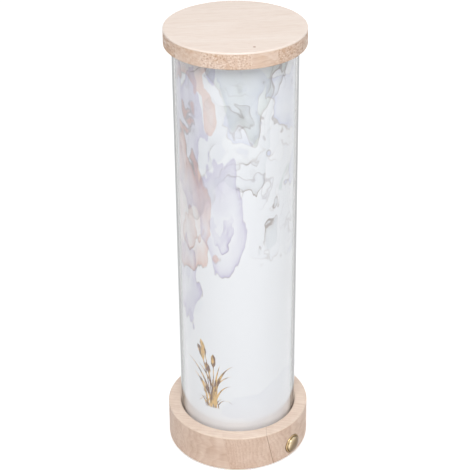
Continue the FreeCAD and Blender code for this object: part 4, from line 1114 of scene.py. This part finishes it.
@dataclass
class PrintedReeds:
    """The printed motif: a clump of reeds with seed heads, low on the shade."""

    name: str = "reed"
    seed: int = 0
    tall: float = 0.056
    foot_level: float = 0.044
    azimuth: float = -27.0
    clear_of_film: float = 0.00002
    thickness: float = 0.00006
    ink: Finish = InkFinish("golden_brown_ink")

    def build(self) -> None:
        """Make the leaves, the seed heads and the tufts at their foot."""
        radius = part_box("shade_film")[1][0] + PrintedShade().spread + self.clear_of_film
        shared = {"Radius": radius, "Azimuth": math.radians(self.azimuth), "Foot_Level": self.foot_level,
                  "Thickness": self.thickness}
        for part, count, height, spread, lean, width, head, seed in (
                ("leaves", 15, 0.8, 0.007, 0.55, 0.0024, 0.0, 4),
                ("heads", 5, 1.0, 0.004, 0.22, 0.0032, 1.0, 11),
                ("tufts", 14, 0.3, 0.012, 1.1, 0.0013, 0.0, 23)):
            plan = Piece(f"{self.name}_{part}", self.ink, Body.SHADE)
            piece = plan.grown(ReedClump(), Count=count, Tall=height * self.tall, Spread=spread, Lean=lean,
                               Blade_Width=width, Head_Share=head, Seed=self.seed + seed, **shared)


@dataclass
class ClearTube:
    """The clear outer tube, with its rims eased."""

    wall: float = 0.002
    rim: float = 0.0004
    finish: Finish = ClearFinish("clear_acrylic_wall")

    def build(self) -> None:
        """Make the tube in the place of its frame piece."""
        low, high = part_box("clear_tube")
        outer = high[0]
        inner = outer - self.wall
        corners = [(inner, low[2]), (outer, low[2]), (outer, high[2]), (inner, high[2])]
        plan = Piece("tube_wall", self.finish, Body.BASE)
        tube = plan.turned(eased(corners, [self.rim] * 4), segments=192)
        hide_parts("clear_tube")


@dataclass
class PrintedShade:
    """The rolled film, lapped at the back."""

    thickness: float = 0.00018
    spread: float = 0.0003
    inner: float = 0.0368
    lap: float = 0.008
    ease_turn: float = 0.35
    columns: int = 288
    rows: int = 6
    paper: Colour = (0.86, 0.865, 0.88)

    def radius_at(self, turn: float, outer: float) -> float:
        """How far out the film's outside lies.

        Args:
            turn: Radians from the inner end.
            outer: The shade's outer radius.

        Returns:
            The radius, in metres.
        """
        step = outer - self.inner - self.thickness
        share = min(max((turn - self.lap / outer) / self.ease_turn, 0.0), 1.0)
        return outer - step * (1 - share * share * (3 - 2 * share))

    def skins(self, low: Sequence[float], high: Sequence[float], outer: float) -> list[Place]:
        """The points of the film's outside and then its inside, column by column.

        Args:
            low: The lowest corner of the film's frame piece.
            high: Its highest corner.
            outer: The shade's outer radius.

        Returns:
            The points.
        """
        whole = 2 * math.pi + self.lap / outer
        points = []
        for inside in (0.0, self.thickness):
            for column in range(self.columns + 1):
                turn = whole * column / self.columns
                radius = self.radius_at(turn, outer) - inside
                angle = 0.5 * math.pi + turn
                for row in range(self.rows + 1):
                    level = low[2] + (high[2] - low[2]) * row / self.rows
                    points.append((radius * math.cos(angle), radius * math.sin(angle), level))
        return points

    def build(self) -> None:
        """Make the film in the place of its frame piece."""
        low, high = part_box("shade_film")
        outer = high[0] + self.spread
        finish = FilmFinish("printed_film_wash", paper=self.paper, height=high[2], radius=outer)
        tall = self.rows + 1
        skin = (self.columns + 1) * tall
        faces = []
        for column in range(self.columns):
            for row in range(self.rows):
                spot = column * tall + row
                faces.append((spot, spot + tall, spot + tall + 1, spot + 1))
                faces.append((skin + spot, skin + spot + 1, skin + spot + tall + 1, skin + spot + tall))
            for row in (0, self.rows):
                spot = column * tall + row
                faces.append((spot, skin + spot, skin + spot + tall, spot + tall))
        for column in (0, self.columns):
            for row in range(self.rows):
                spot = column * tall + row
                faces.append((spot, spot + 1, skin + spot + 1, skin + spot))
        film = Piece("film_sheet", finish, Body.SHADE).of_faces(self.skins(low, high, outer), faces)
        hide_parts("shade_film")


@dataclass
class PushButton:
    """The brass button, its bezel and its return spring, along the button's own axis."""

    azimuth: float = 50.75
    level: float = 0.01025
    bezel_corners: tuple[Point, ...] = (
        (0.0042, 0.0453), (0.0042, 0.0378), (0.005, 0.0378), (0.005, 0.0478), (0.007, 0.0478),
        (0.007, 0.0496), (0.006, 0.0496), (0.006, 0.0483), (0.00305, 0.0483), (0.00305, 0.0453))
    bezel_radii: tuple[float, ...] = (0, 0, 0, 0, 0.0001, 0.0006, 0.0003, 0.0001, 0, 0)
    cap_radius: float = 0.0058
    cap_under: float = 0.04935
    cap_side: float = 0.0004
    cap_dome: float = 0.00145
    cap_steps: int = 24
    cap_spread: float = 0.8
    cap_fall: float = 0.9
    stem: tuple[Point, ...] = ((0.003, 0.04935), (0.003, 0.0453), (0.0024, 0.0453), (0.0024, 0.0445),
                               (0.003, 0.0445), (0.003, 0.0404), (0.0, 0.0404))
    travel: float = 0.001
    turns: float = 5.0
    coil_radius: float = 0.0033
    wire: float = 0.0002
    steel: Finish = MetalFinish("spring_steel", (0.62, 0.63, 0.64), (0.42, 0.42, 0.43),
                                stretch=(500.0, 500.0, 500.0))
    # Both brass finishes end with the colour and share of their painted reflection shade.
    brass: Finish = MetalFinish("polished_brass_turned", (0.70, 0.54, 0.32), (0.50, 0.36, 0.19), 0.22,
                                (300.0, 300.0, 300.0), (0.20, 0.12, 0.05), 0.85)
    worn: Finish = MetalFinish("cap_brass_painted_reflection", (0.82, 0.68, 0.46), (0.62, 0.48, 0.30), 0.15,
                               (300.0, 300.0, 300.0), (0.12, 0.075, 0.038), 0.92)

    def place(self) -> Matrix:
        """The button's axis, pointing outwards from the lamp's axis."""
        lie = Matrix.Rotation(math.radians(90), 4, "X")
        turn = Matrix.Rotation(math.radians(self.azimuth), 4, "Z")
        return Matrix.Translation((0.0, 0.0, self.level)) @ turn @ lie

    def build(self) -> None:
        """Make the pieces in the place of their frame pieces."""
        place = self.place()
        ring = eased(self.bezel_corners, self.bezel_radii)
        bezel = Piece("bezel_ring", self.brass, Body.BASE).turned(ring, place)
        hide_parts("button_bezel")
        outline = []
        for step in range(self.cap_steps + 1):
            turn = 0.5 * math.pi * step / self.cap_steps
            height = self.cap_side + self.cap_dome * math.cos(turn) ** self.cap_fall
            outline.append((self.cap_radius * math.sin(turn) ** self.cap_spread, self.cap_under + height))
        outline += [(self.cap_radius, self.cap_under), *self.stem]
        cap = Piece("button_dome", self.worn, Body.BUTTON).turned(outline, place)
        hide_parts("button_cap")
        self.spring(place)

    def spring(self, place: Matrix) -> None:
        """Wind the return spring at its rest length; the real spring shortens as the button goes in.

        Args:
            place: The button's axis.
        """
        back = place.inverted()
        levels = [(back @ vertex.co).z for vertex in frame["nodes"]["button_spring"].data.vertices]
        low, length = min(levels), max(levels) - min(levels)
        foot = place @ Matrix.Translation((0.0, 0.0, low + self.wire))
        plan = Piece("return_spring", self.steel, Body.BASE)
        coil = plan.grown(Coil(), foot, Turns=self.turns, Radius=self.coil_radius,
                          Height=length - 2 * self.wire, Wire_Radius=self.wire)
        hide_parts("button_spring")
        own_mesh(coil)


@dataclass
class FramePieces:
    """Every other piece, as the frame has it, in its own finish."""

    base_wood: Finish = WoodFinish(
        "base_timber", stave_width=0.03, stave_shift=0.0051, joint_lean=0.19, joint_strength=0.8,
        face_level=0.0285, face_joints=0.35, grain_turn=0.2, painted_side_shade=0.36, contrast=0.38,
        side_contrast=0.02, ray_share=1.1, pore_share=0.22, seed=2.0, ring_spacing=0.0024, ring_share=0.55,
        pale=(0.87, 0.715, 0.60), deep=(0.52, 0.32, 0.22), pore=(0.34, 0.19, 0.12))
    lid_wood: Finish = WoodFinish(
        "lid_timber", stave_width=0.0155, stave_shift=0.0055, joint_lean=0.0, joint_strength=0.15,
        face_level=0.3085, face_joints=0.0, grain_turn=-0.1, painted_side_shade=0.49, contrast=0.22,
        side_contrast=0.35, ray_share=0.3, pore_share=1.1, knot=(0.0113, -0.0353, 0.3085),
        pale=(0.94, 0.84, 0.77), deep=(0.58, 0.36, 0.22), pore=(0.36, 0.18, 0.11))

    def finishes(self) -> dict[str, Finish]:
        """List the finish for each material slot of the record.

        Returns:
            The finishes by slot.
        """
        return {
            "clear_acrylic": ClearFinish("clear_acrylic_wall"),
            "printed_film": PlasticFinish("plain_film", (0.80, 0.81, 0.83)),
            "polished_brass": PushButton().brass,
            "black_plastic": PlasticFinish("black_moulding", (0.02, 0.02, 0.022), 0.5, 3200.0, 0.00005),
            "white_plastic": PlasticFinish("white_moulding", (0.74, 0.74, 0.72), 0.42, 2600.0, 0.00003),
            "white_acetal": PlasticFinish("white_acetal", (0.80, 0.80, 0.76), 0.3, 1800.0),
            "opal_plastic": PlasticFinish("opal_tube", (0.86, 0.86, 0.85), 0.3, 900.0, glow=0.4),
            "black_rubber": PlasticFinish("foot_rubber", (0.03, 0.03, 0.03), 0.8, 4200.0, 0.00006),
            "post_aluminium": MetalFinish("drawn_aluminium", (0.72, 0.73, 0.75), (0.55, 0.56, 0.58), 0.35),
            "bright_steel": MetalFinish("plated_steel", (0.62, 0.63, 0.64), (0.42, 0.42, 0.43), 0.25,
                                        (500.0, 500.0, 500.0)),
            "zinc_steel": MetalFinish("zinc_plate", (0.55, 0.56, 0.58), (0.42, 0.43, 0.40), 0.42,
                                      (240.0, 240.0, 240.0)),
            "green_board": BoardFinish("green_board", (0.012, 0.10, 0.035), (0.02, 0.20, 0.06)),
            "white_board": BoardFinish("white_board", (0.72, 0.73, 0.70), (0.62, 0.64, 0.60)),
            "light_chip": PlasticFinish("phosphor", (0.80, 0.62, 0.12), 0.4, 1200.0),
            "dark_component": PlasticFinish("dark_package", (0.03, 0.03, 0.035), 0.55, 3800.0, 0.00004),
            "cell_wrap": PlasticFinish("cell_wrap", (0.05, 0.16, 0.42), 0.3, 500.0, 0.00006),
            "grey_foam": PlasticFinish("grey_foam", (0.12, 0.12, 0.125), 0.95, 1500.0, 0.0003),
            "red_wire": PlasticFinish("wire_insulation", (0.42, 0.02, 0.015), 0.38, 900.0),
        }

    def build(self) -> None:
        """Dress each frame piece and smooth its curves."""
        finishes = self.finishes()
        woods = {"base_body": self.base_wood, "lid": self.lid_wood}
        for entry in frame["record"]["subparts"]:
            node = frame["nodes"][entry["node"]]
            finish = woods.get(entry["node"]) or finishes[entry["material_slot"]]
            node.data.materials.clear()
            node.data.materials.append(finish.material())
            node.modifiers.new("Soften", "NODES").node_group = Soften().tree()
            even_out(node)
            log.info("%s: %s", entry["node"], finish.name)


@dataclass(frozen=True)
class SoftLight:
    """A soft square light that faces the lamp and is not seen itself."""

    name: str
    place: Place
    width: float
    power: float

    def build(self) -> None:
        """Hang the light and turn it to the middle of the lamp."""
        light = bpy.data.lights.new(self.name, "AREA")
        light.shape = "SQUARE"
        light.size = self.width
        light.energy = self.power
        holder = bpy.data.objects.new(self.name, light)
        holder.visible_camera = False
        holder.visible_transmission = False
        holder.location = self.place
        aim = Vector((0.0, 0.0, MIDDLE_LEVEL)) - Vector(self.place)
        holder.rotation_euler = aim.to_track_quat("-Z", "Y").to_euler()
        bpy.context.scene.collection.objects.link(holder)


@dataclass
class Studio:
    """The floor, the light and the camera at the photograph's view."""

    frame_pixels: float = 470.0
    focal_pixels: float = 1428.08
    sensor_width: float = 36.0
    eye: Place = (0.0, -0.82917, 0.62848)
    right: Place = (0.999977, -0.002239, -0.006352)
    up: Place = (0.006632, 0.491661, 0.870761)
    ahead: Place = (-0.001173, 0.870784, -0.491665)
    reach: float = 6.0
    room: float = 0.42
    white: Colour = (1.0, 1.0, 1.0)
    lights: tuple[SoftLight, ...] = (
        SoftLight("Key", (-0.05, -1.0, 1.45), 0.9, 18.0), SoftLight("Fill", (0.9, -0.9, 0.7), 0.8, 1.5),
        SoftLight("Back", (0.35, 1.3, 0.13), 0.34, 4.0))

    def camera(self) -> None:
        """Set the camera where the photograph was taken from."""
        lens = bpy.data.cameras.new("Camera")
        lens.sensor_width = self.sensor_width
        lens.lens = self.sensor_width * self.focal_pixels / self.frame_pixels
        lens.clip_start = 0.01
        camera = bpy.data.objects.new("Camera", lens)
        columns = Matrix((self.right, self.up, [-part for part in self.ahead])).transposed()
        camera.matrix_world = Matrix.Translation(self.eye) @ columns.to_4x4()
        bpy.context.scene.collection.objects.link(camera)
        bpy.context.scene.camera = camera

    def world(self) -> None:
        """Light the scene evenly, with a white background."""
        world = bpy.data.worlds.new("Studio")
        bpy.context.scene.world = world
        world.use_nodes = True
        world.node_tree.nodes.clear()
        graph = Graph(world.node_tree)
        room, white = (graph.add("ShaderNodeBackground", Color=self.white, Strength=strength).outputs[0]
                       for strength in (self.room, 1.0))
        graph.add("ShaderNodeOutputWorld", Surface=graph.either(graph.seen(), room, white))

    def floor(self) -> None:
        """Lay a plain white floor that keeps the lamp's shadow."""
        mesh = bpy.data.meshes.new("Floor")
        corners = [(x * self.reach, y * self.reach, 0) for x, y in ((-1, -1), (1, -1), (1, 1), (-1, 1))]
        mesh.from_pydata(corners, [], [(0, 1, 2, 3)])
        mesh.materials.append(FloorFinish("white_floor").material())
        floor = bpy.data.objects.new("Floor", mesh)
        bpy.context.scene.collection.objects.link(floor)

    def build(self) -> None:
        """Set up the whole studio."""
        bpy.context.scene.view_settings.view_transform = "Standard"
        self.camera()
        self.world()
        self.floor()
        for light in self.lights:
            light.build()


def main() -> None:
    """Build every piece of the lamp and the studio round it."""
    logging.basicConfig(level=logging.INFO, format="%(name)s: %(message)s")
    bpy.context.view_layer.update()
    far_reeds = PrintedReeds("far_reed", seed=7, tall=0.054, azimuth=163.0)
    for section in (Studio(), FramePieces(), ClearTube(), PrintedShade(), PrintedReeds(), far_reeds,
                    PushButton()):
        section.build()
        log.info("%s is done", type(section).__name__)


if __name__ == "__main__":
    main()
